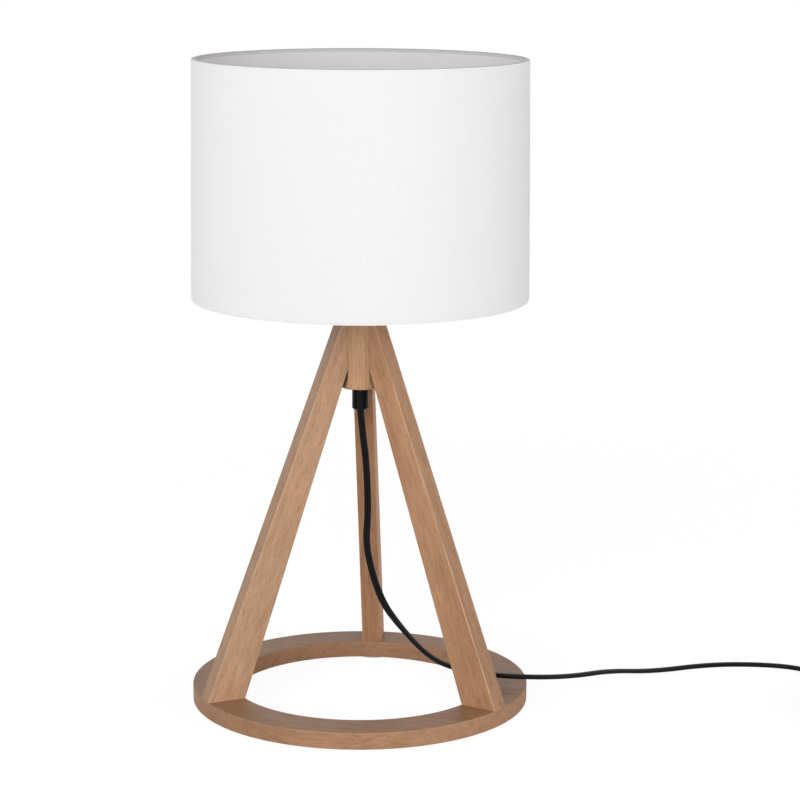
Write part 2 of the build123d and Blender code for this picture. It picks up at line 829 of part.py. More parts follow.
def pivot_lugs():
    """Two lugs beside the rocker that carry its pin."""
    top = SWITCH_H - SWITCH_WALL
    low = ROCKER_PIVOT_UP - LUG_H / 2
    lugs = []
    for side in (-1, 1):
        at = side * (ROCKER_W / 2 + ROCKER_GAP + LUG_T / 2)
        lugs.append(Pos(at, 0, (low + top) / 2) * Box(LUG_T, LUG_L, top - low))
    return lugs


def switch_lid():
    """Upper half of the case, with the rocker's opening and its pivot lugs."""
    shell = (switch_block(0) - switch_block(SWITCH_WALL)) & case_slice(SWITCH_SPLIT, SWITCH_H)
    opening = Box(ROCKER_W + 2 * ROCKER_GAP, ROCKER_L + 4 * ROCKER_GAP, 2 * SWITCH_WALL + 2 * SLIP)
    shell -= Pos(0, 0, SWITCH_H - SWITCH_WALL / 2) * opening
    for post in case_posts(SWITCH_SPLIT, SWITCH_H - SWITCH_WALL):
        shell += post
    for lug in pivot_lugs():
        shell += lug
    for x, y in CASE_SCREW_SPOTS:
        shell -= case_screw_hole(x, y)
    half_pin = ROCKER_W / 2 + ROCKER_GAP + LUG_T
    shell -= rod(PIN_R + GLUE, (-half_pin, 0, ROCKER_PIVOT_UP), (half_pin, 0, ROCKER_PIVOT_UP))
    return SWITCH_AT * (shell - cord_passage())


def rocker_pin():
    half = ROCKER_W / 2 + ROCKER_GAP + LUG_T
    return SWITCH_AT * rod(PIN_R, (-half, 0, ROCKER_PIVOT_UP), (half, 0, ROCKER_PIVOT_UP))


def at_rest_tilt(shape):
    """A piece of the rocker, tilted about its pin to the off position and placed in the switch."""
    return SWITCH_AT * Pos(0, 0, ROCKER_PIVOT_UP) * Rot(ROCKER_TILT, 0, 0) * shape


def switch_rocker():
    """Rocker with a dished top, bored for its pin."""
    half = ROCKER_L / 2
    outline = Polyline(
        (0, -ROCKER_FOOT / 2, -ROCKER_DROP),
        (0, ROCKER_FOOT / 2, -ROCKER_DROP),
        (0, half, 0),
        (0, half, ROCKER_RISE),
        (0, 0, ROCKER_RISE - ROCKER_DISH),
        (0, -half, ROCKER_RISE),
        (0, -half, 0),
        close=True,
    )
    block = extrude(make_face(outline), ROCKER_W / 2, both=True)
    return at_rest_tilt(block - rod(PIN_R + GLUE, (-ROCKER_W, 0, 0), (ROCKER_W, 0, 0)))


def contact_bridge():
    """Brass blade under the rocker that joins the two studs."""
    blade = Pos(0, 0, -ROCKER_DROP - BRIDGE_T / 2) * Box(BRIDGE_W, BRIDGE_L, BRIDGE_T)
    return at_rest_tilt(blade)


def contact_studs():
    """Two brass studs on the floor of the switch, each with a strip that reaches under the rocker."""
    top = SWITCH_WALL + STUD_H
    far = STUD_APART / 2
    studs = []
    for side in (-1, 1):
        stud = rod(STUD_R, (0, side * far, SWITCH_WALL), (0, side * far, top))
        strip = Box(STRIP_W, far - STRIP_END, STRIP_T, align=(Align.CENTER, Align.CENTER, Align.MIN))
        studs.append(stud + Pos(0, side * (far + STRIP_END) / 2, top) * strip)
    return SWITCH_AT * group(studs)


def switch_wires():
    """Cores inside the switch: one runs straight through, the other is cut and ends at the studs."""
    cord_end = SWITCH_L / 2 - SWITCH_CORD_IN
    stud_end = STUD_APART / 2 + STUD_R
    aside = STUD_R + 2 * CORE_WIRE_R
    low = SWITCH_WALL + CORE_WIRE_R + SLIP
    wires = []
    for side in (-1, 1):
        start = (CORE_WIRE_GAP, side * cord_end, SWITCH_SPLIT)
        wires.append(rod(CORE_WIRE_R, start, (CORE_WIRE_GAP, side * (stud_end + SLIP), SWITCH_SPLIT)))
    corners = [
        (-CORE_WIRE_GAP, cord_end, SWITCH_SPLIT),
        (-CORE_WIRE_GAP, cord_end - 2 * CORE_WIRE_R, SWITCH_SPLIT),
        (-aside, stud_end, low),
        (-aside, -stud_end, low),
        (-CORE_WIRE_GAP, 2 * CORE_WIRE_R - cord_end, SWITCH_SPLIT),
        (-CORE_WIRE_GAP, -cord_end, SWITCH_SPLIT),
    ]
    path = FilletPolyline(*corners, radius=CORE_WIRE_R)
    wires.append(sweep(Plane(corners[0], z_dir=(0, -1, 0)) * Circle(CORE_WIRE_R), path=path))
    return SWITCH_AT * group(wires)


def case_screws():
    screws = []
    for x, y in CASE_SCREW_SPOTS:
        head = rod(CASE_SCREW_HEAD_R, (x, y, SLIP), (x, y, CASE_SCREW_HEAD_T))
        shank = rod(CASE_SCREW_R, (x, y, CASE_SCREW_HEAD_T), (x, y, CASE_SCREW_L))
        slot = Pos(x, y, SLIP) * Box(2 * CASE_SCREW_HEAD_R, GRIP_SCREW_SLOT, CASE_SCREW_HEAD_T)
        screws.append(head + shank - slot)
    return SWITCH_AT * group(screws)


# Plug


PLUG_BODY_Y = PLUG_START_Y + RELIEF_L
PLUG_FACE_Y = PLUG_BODY_Y + PLUG_L


def plug_pin_rods(radius, start, end):
    """The two pins, or sleeves or holes round them, between two places along Y."""
    rods = []
    for side in (-1, 1):
        x = PLUG_X + side * PLUG_PIN_APART / 2
        rods.append(rod(radius, (x, start, PLUG_CORD_Z), (x, end, PLUG_CORD_Z)))
    return rods


def plug_body():
    """Flat moulded body, narrow at the cord and broad at the pins."""
    waist = PLUG_BODY_Y + PLUG_WAIST
    outline = Polyline(
        (PLUG_X - PLUG_NECK_W / 2, PLUG_BODY_Y),
        (PLUG_X + PLUG_NECK_W / 2, PLUG_BODY_Y),
        (PLUG_X + PLUG_W / 2, waist),
        (PLUG_X + PLUG_W / 2, PLUG_FACE_Y),
        (PLUG_X - PLUG_W / 2, PLUG_FACE_Y),
        (PLUG_X - PLUG_W / 2, waist),
        close=True,
    )
    block = extrude(make_face(outline), PLUG_T)
    block = fillet(block.edges().filter_by(Axis.Z), PLUG_ROUND)
    rims = block.edges().group_by(Axis.Z)
    block = fillet(rims[0] + rims[-1], PLUG_RIM)
    for hole in plug_pin_rods(PLUG_PIN_ROOT_R + GLUE, PLUG_FACE_Y - PLUG_PIN_ROOT - GLUE, PLUG_FACE_Y):
        block -= hole
    return block


def plug_pins():
    """Round pins with rounded tips, each with a thinner root in the body."""
    roots = plug_pin_rods(PLUG_PIN_ROOT_R, PLUG_FACE_Y - PLUG_PIN_ROOT, PLUG_FACE_Y)
    pins = []
    for root, pin in zip(roots, plug_pin_rods(PLUG_PIN_R, PLUG_FACE_Y, PLUG_FACE_Y + PLUG_PIN_L)):
        tip = pin.edges().sort_by(Axis.Y)[-1]
        pins.append(root + fillet(tip, PLUG_PIN_TIP))
    return group(pins)


def plug_relief():
    """Tapered strain relief with ribs, from the flex to the plug's body."""
    rib = RELIEF_L / (2 * RELIEF_RIBS)
    outline = [(0, 0)]
    for step in range(2 * RELIEF_RIBS):
        share = step / (2 * RELIEF_RIBS - 1)
        radius = RELIEF_TIP_R + (RELIEF_ROOT_R - RELIEF_TIP_R) * share - RELIEF_RIB_DEPTH * (step % 2)
        outline += [(radius, step * rib), (radius, (step + 1) * rib)]
    outline.append((0, RELIEF_L))
    sleeve = turned(*outline)
    return Pos(PLUG_X, PLUG_START_Y, PLUG_CORD_Z) * Rot(-90, 0, 0) * sleeve


def all_parts():
    parts = {
        "base_ring": base_ring(),
        "felt_pads": felt_pads(),
        "foot_screws": foot_screws(),
        "foot_dowels": foot_dowels(),
        "hub": hub(),
        "hub_dowels": hub_dowels(),
        "threaded_tube": threaded_tube(),
        "hub_washer": hub_washer(),
        "lock_nut": lock_nut(),
        "cord_grip": cord_grip(),
        "grip_screw": grip_screw(),
        "inner_cord": inner_cord(),
        "core_wires": core_wires(),
        "holder_cap": holder_cap(),
        "holder_body": holder_body(),
        "holder_core": holder_core(),
        "screw_shell": screw_shell(),
        "centre_contact": centre_contact(),
        "terminal_screws": terminal_screws(),
        "shade_cover": shade_cover(),
        "shade_liner": shade_liner(),
        "shade_top_wire": wire_ring(1, 0),
        "shade_bottom_wire": wire_ring(-1, 0),
        "shade_top_hem": hem(1),
        "shade_bottom_hem": hem(-1),
        "shade_spider": shade_spider(),
        "clamp_ring": clamp_ring(),
        "cord_to_switch": cord_tube("cord_to_switch", LAMP_ROUTE),
        "cord_link": cord_tube("cord_link", LINK_ROUTE),
        "cord_coil": cord_coil(),
        "cord_tail": cord_tube("cord_tail", TAIL_ROUTE),
        "cord_tie": cord_tie(),
        "switch_base": switch_base(),
        "switch_lid": switch_lid(),
        "switch_rocker": switch_rocker(),
        "rocker_pin": rocker_pin(),
        "contact_bridge": contact_bridge(),
        "contact_studs": contact_studs(),
        "switch_wires": switch_wires(),
        "case_screws": case_screws(),
        "plug_body": plug_body(),
        "plug_pins": plug_pins(),
        "plug_relief": plug_relief(),
    }
    for name, azimuth in LEG_AZIMUTHS.items():
        parts[name] = turned_about(azimuth, leg_board())
    return parts


os.makedirs("parts", exist_ok=True)
for node, shape in all_parts().items():
    export_step(shape, f"parts/{node}.step")
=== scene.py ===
import math

import bmesh
import bpy
import numpy as np
from bpy.props import FloatProperty, FloatVectorProperty, IntProperty, PointerProperty
from bpy.types import Operator, Panel, PropertyGroup
from mathutils import Matrix, Vector


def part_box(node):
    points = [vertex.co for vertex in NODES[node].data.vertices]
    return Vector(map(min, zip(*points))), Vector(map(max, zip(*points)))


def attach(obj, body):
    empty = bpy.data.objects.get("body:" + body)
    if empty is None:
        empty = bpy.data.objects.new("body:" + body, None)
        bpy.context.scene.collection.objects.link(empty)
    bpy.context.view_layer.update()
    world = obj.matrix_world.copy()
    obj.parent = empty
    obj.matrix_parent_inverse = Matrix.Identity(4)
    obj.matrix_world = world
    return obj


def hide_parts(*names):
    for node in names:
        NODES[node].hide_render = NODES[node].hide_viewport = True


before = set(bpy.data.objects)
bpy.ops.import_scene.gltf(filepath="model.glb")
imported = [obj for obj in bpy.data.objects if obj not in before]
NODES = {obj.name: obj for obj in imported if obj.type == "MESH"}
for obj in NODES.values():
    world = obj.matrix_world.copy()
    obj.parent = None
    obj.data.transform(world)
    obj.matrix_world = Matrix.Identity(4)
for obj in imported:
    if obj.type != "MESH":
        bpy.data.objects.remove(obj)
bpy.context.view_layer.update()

bl_info = {
    "name": "Bedside lamp",
    "version": (1, 0, 0),
    "blender": (4, 5, 0),
    "location": "View3D > Sidebar > Lamp",
    "description": "Dresses a wooden tripod lamp with a drum shade, its flex, switch and plug",
    "category": "Object",
}

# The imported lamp, in metres
MM = 0.001
UP = np.array([0.0, 0.0, 1.0])

# Wooden frame. A pair of ranges is a stretch in metres and how darkly painted shade darkens the wood along it
LEG_AZIMUTHS = {"leg_rear": 90.0, "leg_left": 210.0, "leg_right": 330.0}
LEG_TONES = {
    "leg_rear": (0.87, 0.76, 0.67),
    "leg_left": (1.07, 1.07, 1.08),
    "leg_right": (0.99, 0.905, 0.825),
}
# Paler arrises on each leg, partly wear and partly a painted highlight
LEG_WEAR_AND_HIGHLIGHT = {"leg_rear": 0.5, "leg_left": 0.45, "leg_right": 0.86}
LEG_SPAN = (70.0 * MM, 270.0 * MM)
# Painted shade on each leg's outer edge, at its bottom and at its top
LEG_EDGE_PAINTED_SHADE = {"leg_rear": (0.0, 0.0), "leg_left": (0.28, 0.42), "leg_right": (0.15, 0.15)}
RING_TONE = (0.92, 0.85, 0.80)
RING_GRAIN = -8.0
# Paler arrises on the ring, partly wear and partly a painted highlight
RING_WEAR_AND_HIGHLIGHT = 0.3
RING_ROUGH = (0.62, 0.74)
RING_SATIN = 0.22
# Painted shade on the ring: its left and right sides, its top and its bore are darker where less light falls
RING_LEFT_PAINTED_SHADE = ((-125.0 * MM, -20.0 * MM), (0.36, 0.0))
RING_RIGHT_PAINTED_SHADE = ((97.0 * MM, 125.0 * MM), (0.0, 0.26))
RING_TOP_PAINTED_SHADE = ((-110.0 * MM, 110.0 * MM), (0.20, 0.29))
RING_BORE_PAINTED_SHADE = ((95.6 * MM, 96.4 * MM), (0.19, 0.0))
HUB_TONE = (1.18, 1.18, 1.12)
SEAT_RADIUS = 11.05 * MM
SEAT_HEIGHT = 28.0 * MM
LEG_TOP_RADIUS = 17.65 * MM
LEG_TOP_DRAW = 0.8
HUB_RADIUS = 15.3 * MM
NOTCH_SPARE = 0.1 * MM
NOTCH_LEAN = 0.172
NOTCH_CORNER = 0.99
# Painted shade in the hub's notches: how far from the axis it reaches, and on which side
NOTCH_PAINTED_SHADE = ((14.6 * MM, 15.25 * MM), (0.92, 0.0))
NOTCH_SIDE = ((-2.0 * MM, 2.0 * MM), (1.0, 0.0))
BOARD_STEPS = 40
HUB_ARC_STEPS = 24
CORNER_STEPS = 6
CORNER_HOLD = 0.4 * MM
QUARTER = np.linspace(0.0, math.pi / 2, 6)

# Grain of the wood: how far it drifts sideways, and where each piece starts in the pattern
GRAIN_DRIFT = 4.0 * MM
LEG_GRAIN_START = (0.031, 0.045, 0.0)
LEG_GRAIN_STEP = (0.17, 0.013, 0.4)
RING_GRAIN_START = (0.05, 0.16, 0.1)
HUB_GRAIN_START = (0.06, 0.04, 0.7)
DOWEL_GRAIN_START = (0.3, 0.2, 0.1)

# Patterns in the wood: repeats a metre across, through and along the board, detail and roughness of the noise
GRAIN = {
    "layers": ((560.0, 45.0, 8.0), 2.0, 0.5),
    "fibres": ((1050.0, 1050.0, 60.0), 3.0, 0.6),
    "streaks": ((420.0, 420.0, 22.0), 2.0, 0.5),
    "patches": ((45.0, 45.0, 9.0), 1.0, 0.5),
    "mottle": ((190.0, 190.0, 55.0), 2.0, 0.5),
    "dashes": ((800.0, 800.0, 130.0), 1.0, 0.5),
    "breaks": ((60.0, 60.0, 26.0), 2.0, 0.5),
}
GRAIN_SHARES = {"layers": 0.25, "fibres": 0.42, "streaks": 0.17, "patches": 0.22, "mottle": 0.30}
PORE_SHARE = 0.30
# Colour of the paler arrises, partly wear and partly a painted highlight
WEAR_AND_HIGHLIGHT_TINT = (1.40, 1.53, 1.75)

# Shade
SHADE_TAPER = 1.8 * MM
SHADE_GAP = 0.05 * MM
HEM_TUCK = math.radians(200.0)
HEM_TAIL = 0.6 * MM
# Width over which the painted shade on the hems fades out
HEM_FADE = 0.5 * MM
LAP_STEP = 0.35 * MM
HEM_STEPS = 36
FACE_STEPS = 40
FILM_STEPS = 30
THREADS_A_METRE = 2200.0

# Lampholder
THREAD_PITCH = 2.5 * MM
THREAD_DEPTH = 0.55 * MM
CAP_THREAD_PITCH = 3.63 * MM
CAP_THREAD_DEPTH = 0.7 * MM
SHELL_WALL = 0.35 * MM
THREAD_RUN_OUT = 1.5 * MM
THREAD_ROWS = 110
THREAD_STEPS = 96
HOLDER_FLANGE = 3.0 * MM
HOLDER_WALL = 19.7 * MM
HOLDER_BORE = 16.6 * MM
HOLDER_LIP = 14.4 * MM
HOLDER_LIP_THICKNESS = 2.0 * MM
HOLDER_CHAMFER = 1.2 * MM
HOLDER_EASE = 0.5 * MM

# Flex: what its groove leaves of the thickness, and the groove's width as a share of the flat side
FLEX_GROOVE = 0.86
FLEX_GROOVE_SIDE = 0.25
FLEX_END_STEPS = 9
SPLINE_STEPS = 16

# Route from the grip to the switch in millimetres, chosen along the photographed line
ON_FLOOR = 1.7
LAMP_ROUTE = (
    (0.0, 0.0, 221.0),
    (1.4, 0.2, 205.0),
    (4.5, 0.4, 180.3),
    (5.9, 0.6, 142.8),
    (3.9, -0.6, 116.1),
    (14.8, -1.6, 77.2),
    (30.7, -3.1, 55.8),
    (51.2, -4.1, 34.3),
    (70.4, -5.3, 25.6),
    (99.4, -4.5, 21.0),
    (133.5, -4.3, 20.3),
    (160.6, 17.4, 15.3),
    (187.2, 44.1, 11.9),
    (220.0, 77.5, ON_FLOOR),
    (264.0, 99.5, ON_FLOOR),
    (303.0, 104.0, ON_FLOOR),
    (334.0, 98.0, ON_FLOOR),
    (348.0, 74.0, 4.2),
    (350.0, 50.0, 7.0),
    (350.0, 36.0, 7.0),
)

# Routes from the switch into the coil and out of it to the plug, and the coil itself, in millimetres
LINK_ROUTE = ((350.0, -10.0, 7.0), (350.0, -28.0, 7.0), (350.0, -46.0, 3.45), (350.0, -60.0, 3.45))
TAIL_ROUTE = (
    (424.0, -60.0, 9.35),
    (424.0, -44.0, 9.35),
    (413.0, -22.0, 8.2),
    (403.0, -2.0, 6.8),
    (403.0, 14.0, 6.8),
)
COIL_CENTRE = (387.0, -65.2)
COIL_RADIUS = 37.0
COIL_PITCH = 5.9
COIL_LAYER_TURNS = 2.5
COIL_CLIMB_TURNS = 0.5
COIL_POINTS_A_TURN = 24
COIL_LOW = 3.45
COIL_HIGH = 9.35

# Metres along the flex over which its flat side turns over, the last pair counted back from the plug
LIE_DOWN = (0.125, 0.20)
STAND_UP = (0.012, 0.075)
LIE_AGAIN = (0.095, 0.02)

# Camera fitted to the photograph
LENS = 113.03
SENSOR = 36.0
CAMERA_AT = (0.1728, -1.8013, 0.5931)
CAMERA_PITCH = 0.1992
CAMERA_YAW = 0.0161
CAMERA_ROLL = 0.0042
CAMERA_TURN = math.radians(5.48)

# Studio: even light from the front and both sides, little from above
HORIZON_LIGHT = 0.56
LIGHT_AIM = (0.0, 0.0, 0.25)
LIGHT_SIZE = 1.4
STUDIO_LIGHTS = (
    ("front_light", (-0.5, -2.4, 0.95), 33.0),
    ("left_light", (-2.2, -0.7, 0.35), 10.5),
    ("right_light", (2.2, -0.7, 0.35), 22.0),
    ("back_left_light", (-1.9, 1.5, 0.5), 8.0),
    ("back_right_light", (1.9, 1.5, 0.5), 8.0),
)
FLOOR_HALF = 12.0
FLOOR_PAPER = (0.7, 0.7, 0.7)
FLOOR_GLOW = 0.915
FLOOR_SHADOW = (0.2, 0.2, 0.2)
SHADOW_REACH = (0.35, 1.1)


def low(node):
    """Lowest corner of a node's box."""
    return np.array(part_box(node)[0])


def high(node):
    """Highest corner of a node's box."""
    return np.array(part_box(node)[1])


def span(node):
    """Lowest and highest level of a node."""
    return low(node)[2], high(node)[2]


def length(name, text, size):
    """A size in metres that a user may change."""
    return FloatProperty(name=name, description=text, default=size, min=0.0, unit="LENGTH")


def colour(name, text, value):
    """A colour that a user may change."""
    return FloatVectorProperty(name=name, description=text, default=value, size=3, min=0.0, max=1.0,
                               subtype="COLOR")


class LampSizes(PropertyGroup):
    """Sizes of the pieces that are made here."""

    ring_width: length("Ring width", "Width of the flat base ring", 29.5 * MM)
    leg_width: length("Leg width", "Width of a leg board", 14.6 * MM)
    arris: length("Arris", "Radius of the eased edges of the wood", 0.9 * MM)
    cloth: length("Cloth", "Thickness of the shade's cloth", 0.3 * MM)
    film: length("Film", "Thickness of the shade's lining", 0.4 * MM)
    hem_roll: length("Hem roll", "Radius of the cloth round a shade wire", 1.66 * MM)
    lap: length("Lap", "Width of the seam at the back of the shade", 9.0 * MM)
    flex_width: length("Flex width", "Wide side of the flat flex", 5.2 * MM)
    flex_thickness: length("Flex thickness", "Narrow side of the flat flex", 3.2 * MM)
    turn_steps: IntProperty(name="Turn steps", description="Steps round a turned piece", default=240, min=24)


class LampColours(PropertyGroup):
    """Colours of the finishes."""

    oak_light: colour("Oak light", "Pale wood between the grain lines", (0.56, 0.345, 0.205))
    oak_dark: colour("Oak dark", "Darker wood in the grain lines", (0.37, 0.205, 0.115))
    # The pore colour also tints the painted shade on the wood
    oak_pore_and_shade: colour("Oak pore", "Short dark pores", (0.19, 0.10, 0.055))
    cloth: colour("Shade cloth", "White cloth of the shade", (0.955, 0.94, 0.945))
    lining: colour("Shade lining", "White film inside the shade", (0.95, 0.94, 0.94))
    enamel: colour("White enamel", "Paint on the shade's wires", (0.82, 0.81, 0.79))
    plastic: colour("Black plastic", "Moulded grip, holder, switch and plug", (0.0055, 0.0045, 0.005))
    rubber: colour("Black rubber", "Strain relief and tie", (0.007, 0.0065, 0.0065))
    flex: colour("Flex", "Black sheath of the flat flex", (0.0045, 0.004, 0.0042))
    insulation: colour("Insulation", "Brown sleeve of the thin wires", (0.16, 0.07, 0.03))
    felt: colour("Felt", "Pads under the ring", (0.78, 0.77, 0.75))
    porcelain: colour("Porcelain", "Glazed core of the lampholder", (0.80, 0.79, 0.75))
    brass: colour("Brass", "Contacts and screw shell", (0.76, 0.55, 0.25))
    zinc: colour("Zinc", "Plated steel fasteners", (0.62, 0.63, 0.64))
    nickel: colour("Nickel", "Plated plug pins", (0.66, 0.63, 0.58))


# Surfaces

def eased_outline(corners, radius):
    """A closed outline whose corners are arcs.

    Each arc turns from one side of its corner to the other about a centre on the corner's bisector. A point a
    little way along each side keeps the flat side flat in smooth shading.
    """
    corners = np.asarray(corners, float)
    share = np.linspace(0.0, 1.0, CORNER_STEPS + 1)[:, None]
    parts = []
    for corner, last, following in zip(corners, np.roll(corners, 1, 0), np.roll(corners, -1, 0)):
        back = (last - corner) / np.linalg.norm(last - corner)
        ahead = (following - corner) / np.linalg.norm(following - corner)
        half = math.acos(np.clip(back @ ahead, -1.0, 1.0)) / 2
        reach = radius / math.tan(half)
        middle = (back + ahead) / np.linalg.norm(back + ahead)
        centre = corner + middle * radius / math.sin(half)
        sweep = math.pi - 2 * half
        first = corner + back * reach - centre
        final = corner + ahead * reach - centre
        arc = centre + (np.sin((1 - share) * sweep) * first + np.sin(share * sweep) * final) / math.sin(sweep)
        hold = reach + CORNER_HOLD
        parts += [corner + back * hold, *arc, corner + ahead * hold]
    return np.array(parts)


def corner_wear_and_highlight(share):
    """Wear and painted highlight of each point of a four-cornered eased outline: a sine hump over each arc,
    none on the flats.
    """
    hump = np.sin(np.linspace(0.0, math.pi, CORNER_STEPS + 1)) ** 2
    return np.tile(np.r_[0.0, share * hump, 0.0], 4)


def side_mark(corner):
    """1 on the flat side after a corner, counted from 1, of a four-cornered eased outline, and else 0."""
    each = CORNER_STEPS + 3
    mark = np.zeros(4 * each)
    mark[corner * each - 2:corner * each + 2] = 1.0
    return mark


def turned(outline, angles):
    """An outline of radius and height turned about the lamp's axis: one row of points for each angle."""
    radius, height = outline[None, :, 0], outline[None, :, 1]
    angles = angles[:, None]
    return np.stack([radius * np.cos(angles), radius * np.sin(angles), height + 0 * angles], -1)


def full_turn(steps):
    """Evenly spaced angles round the axis."""
    return np.linspace(0.0, 2 * math.pi, steps, endpoint=False)


def away_from_axis(angles):
    """Level directions away from the lamp's axis, one for each angle."""
    return np.stack([np.cos(angles), np.sin(angles), 0 * angles], -1)


def surface_piece(name, grid, wrap_rows=False, caps=False, rulers=None, marks=None, crease=40.0):
    """A mesh of quads over a grid of points whose columns join up, smooth up to the crease angle.

    The rows join up where they wrap, and otherwise caps may close the first and last row. The rulers are the
    lengths along the columns and along the rows, and become the piece's UV map in metres. The marks are named
    attributes, each with a value for every column.
    """
    rows, columns = grid.shape[:2]
    i, j = np.meshgrid(np.arange(rows if wrap_rows else rows - 1), np.arange(columns), indexing="ij")
    row = np.stack([i, i, i + 1, i + 1], -1).reshape(-1, 4)
    column = np.stack([j, j + 1, j + 1, j], -1).reshape(-1, 4)
    faces = ((row % rows) * columns + column % columns).tolist()
    if caps:
        faces.append(list(range(columns)))
        faces.append(list(range((rows - 1) * columns, rows * columns)))
    mesh = bpy.data.meshes.new(name)
    mesh.from_pydata(grid.reshape(-1, 3).tolist(), [], faces)
    if rulers is not None:
        flat = np.zeros((len(mesh.loops), 2))
        across, along = rulers
        flat[:row.size, 0] = across[column.ravel()]
        flat[:row.size, 1] = along[row.ravel()]
        mesh.uv_layers.new(name="flat").data.foreach_set("uv", flat.ravel())
    for mark, values in (marks or {}).items():
        mesh.attributes.new(mark, "FLOAT", "POINT").data.foreach_set("value", np.tile(values, rows))
    shell = bmesh.new()
    shell.from_mesh(mesh)
    bmesh.ops.recalc_face_normals(shell, faces=shell.faces)
    shell.to_mesh(mesh)
    shell.free()
    mesh.shade_smooth()
    mesh.set_sharp_from_angle(angle=math.radians(crease))
    mesh.validate()
    piece = bpy.data.objects.new(name, mesh)
    bpy.context.scene.collection.objects.link(piece)
    return piece


def dress(piece, body, slot, finish, *nodes):
    """Sets a new piece's body and finish, and hides the nodes that it stands for. The slot is not used."""
    piece.data.materials.append(finish)
    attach(piece, body)
    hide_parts(*nodes)


def paint(finish, *nodes):
    """Gives a finish to nodes that keep their own shape."""
    for node in nodes:
        for place in NODES[node].material_slots:
            place.material = finish


def leg_surface(sizes, azimuth):
    """A leg board as level slices, each a rectangle with eased corners.

    The outer edge is one straight line from the ring's rim to the hub's top. The inner edge is a straight
    line from the ring's bore up to the seat, and upright above it. The slices draw in by a quarter circle at
    the top.
    """
    bottom = high("base_ring")[2]
    top = high("hub")[2]
    seat = top - SEAT_HEIGHT
    rim = high("base_ring")[0]
    ease = sizes.arris
    heights = np.r_[
        np.linspace(bottom, seat - 4 * ease, BOARD_STEPS),
        np.linspace(seat - 2 * ease, seat + 2 * ease, 5),
        np.linspace(seat + 4 * ease, top - 2 * ease, 6),
        top - ease + ease * np.sin(QUARTER),
    ]
    inset = np.zeros(len(heights))
    inset[-len(QUARTER):] = ease * (1 - np.cos(QUARTER)) * LEG_TOP_DRAW
    inner = np.interp(heights, [bottom, seat, top], [rim - sizes.ring_width, SEAT_RADIUS, SEAT_RADIUS])
    outer = np.interp(heights, [bottom, top], [rim, LEG_TOP_RADIUS])
    half = sizes.leg_width / 2
    outline = eased_outline([(-half, -half), (half, -half), (half, half), (-half, half)], ease)
    side = np.sign(outline)
    depth = (outer - inner)[:, None] / 2 - inset[:, None]
    radial = (outer + inner)[:, None] / 2 + side[None, :, 0] * (np.abs(outline[None, :, 0]) - half + depth)
    tangent = outline[None, :, 1] - side[None, :, 1] * inset[:, None]
    turn = math.radians(azimuth)
    x = radial * math.cos(turn) - tangent * math.sin(turn)
    y = radial * math.sin(turn) + tangent * math.cos(turn)
    return np.stack([x, y, np.broadcast_to(heights[:, None], x.shape)], -1)


def leg_grain(sizes, azimuth):
    """Direction of a leg's grain, along the middle of the board, and the direction across its face."""
    turn = math.radians(azimuth)
    foot = high("base_ring")[0] - sizes.ring_width / 2
    rise = high("hub")[2] - high("base_ring")[2]
    lean = (LEG_TOP_RADIUS + SEAT_RADIUS) / 2 - foot
    return (lean * math.cos(turn), lean * math.sin(turn), rise), (-math.sin(turn), math.cos(turn), 0.0)


def ring_surface(sizes):
    """The base ring: a rectangle with eased corners turned about the axis."""
    bottom, top = span("base_ring")
    rim = high("base_ring")[0]
    bore = rim - sizes.ring_width
    outline = eased_outline([(bore, bottom), (rim, bottom), (rim, top), (bore, top)], sizes.arris)
    return turned(outline, full_turn(sizes.turn_steps))


def hub_surface(sizes):
    """The hub: an outline of three arcs with notches between them, carried up the axis.

    The flat of each notch stands upright behind its leg. Below the leg's seat it leans out until it meets the
    arcs. The outline draws in by a quarter circle at its bottom and top edges.
    """
    half = (sizes.leg_width + NOTCH_SPARE) / 2
    ease = sizes.arris
    bottom, top = span("hub")
    seat = top - SEAT_HEIGHT
    heights = np.r_[
        bottom + ease - ease * np.sin(QUARTER[::-1]),
        np.linspace(bottom + 2 * ease, seat, 12),
        np.linspace(seat + 2 * ease, top - 2 * ease, 5),
        top - ease + ease * np.sin(QUARTER),
    ]
    deep = SEAT_RADIUS + NOTCH_LEAN * np.clip(seat - heights, 0.0, None)[:, None]
    wide = np.minimum(half, np.sqrt(HUB_RADIUS ** 2 - deep ** 2))
    third = math.radians(120.0)
    meet = np.arcsin(wide / HUB_RADIUS)
    arc = HUB_RADIUS * np.exp(1j * (meet + (third - 2 * meet) * np.linspace(0.0, 1.0, HUB_ARC_STEPS)))
    notch = (deep + NOTCH_CORNER * wide * np.array([-1j, 1j])) * np.exp(1j * third)
    lobe = np.concatenate([arc, notch], axis=1)
    turns = np.exp(1j * np.radians(list(LEG_AZIMUTHS.values())))
    outline = np.concatenate([lobe * turn for turn in turns], axis=1)
    draw = np.ones(len(heights))
    draw[:len(QUARTER)] -= ease * (1 - np.cos(QUARTER[::-1])) / HUB_RADIUS
    draw[-len(QUARTER):] -= ease * (1 - np.cos(QUARTER)) / HUB_RADIUS
    flat = draw[:, None] * outline
    return np.stack([flat.real, flat.imag, np.broadcast_to(heights[:, None], flat.shape)], -1)


def shade_radius(height):
    """Outside radius of the shade at a height: it draws in evenly from the bottom to the top."""
    (_, _, bottom), (rim, _, top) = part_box("shade_cover")
    return rim - SHADE_TAPER * (height - bottom) / (top - bottom)


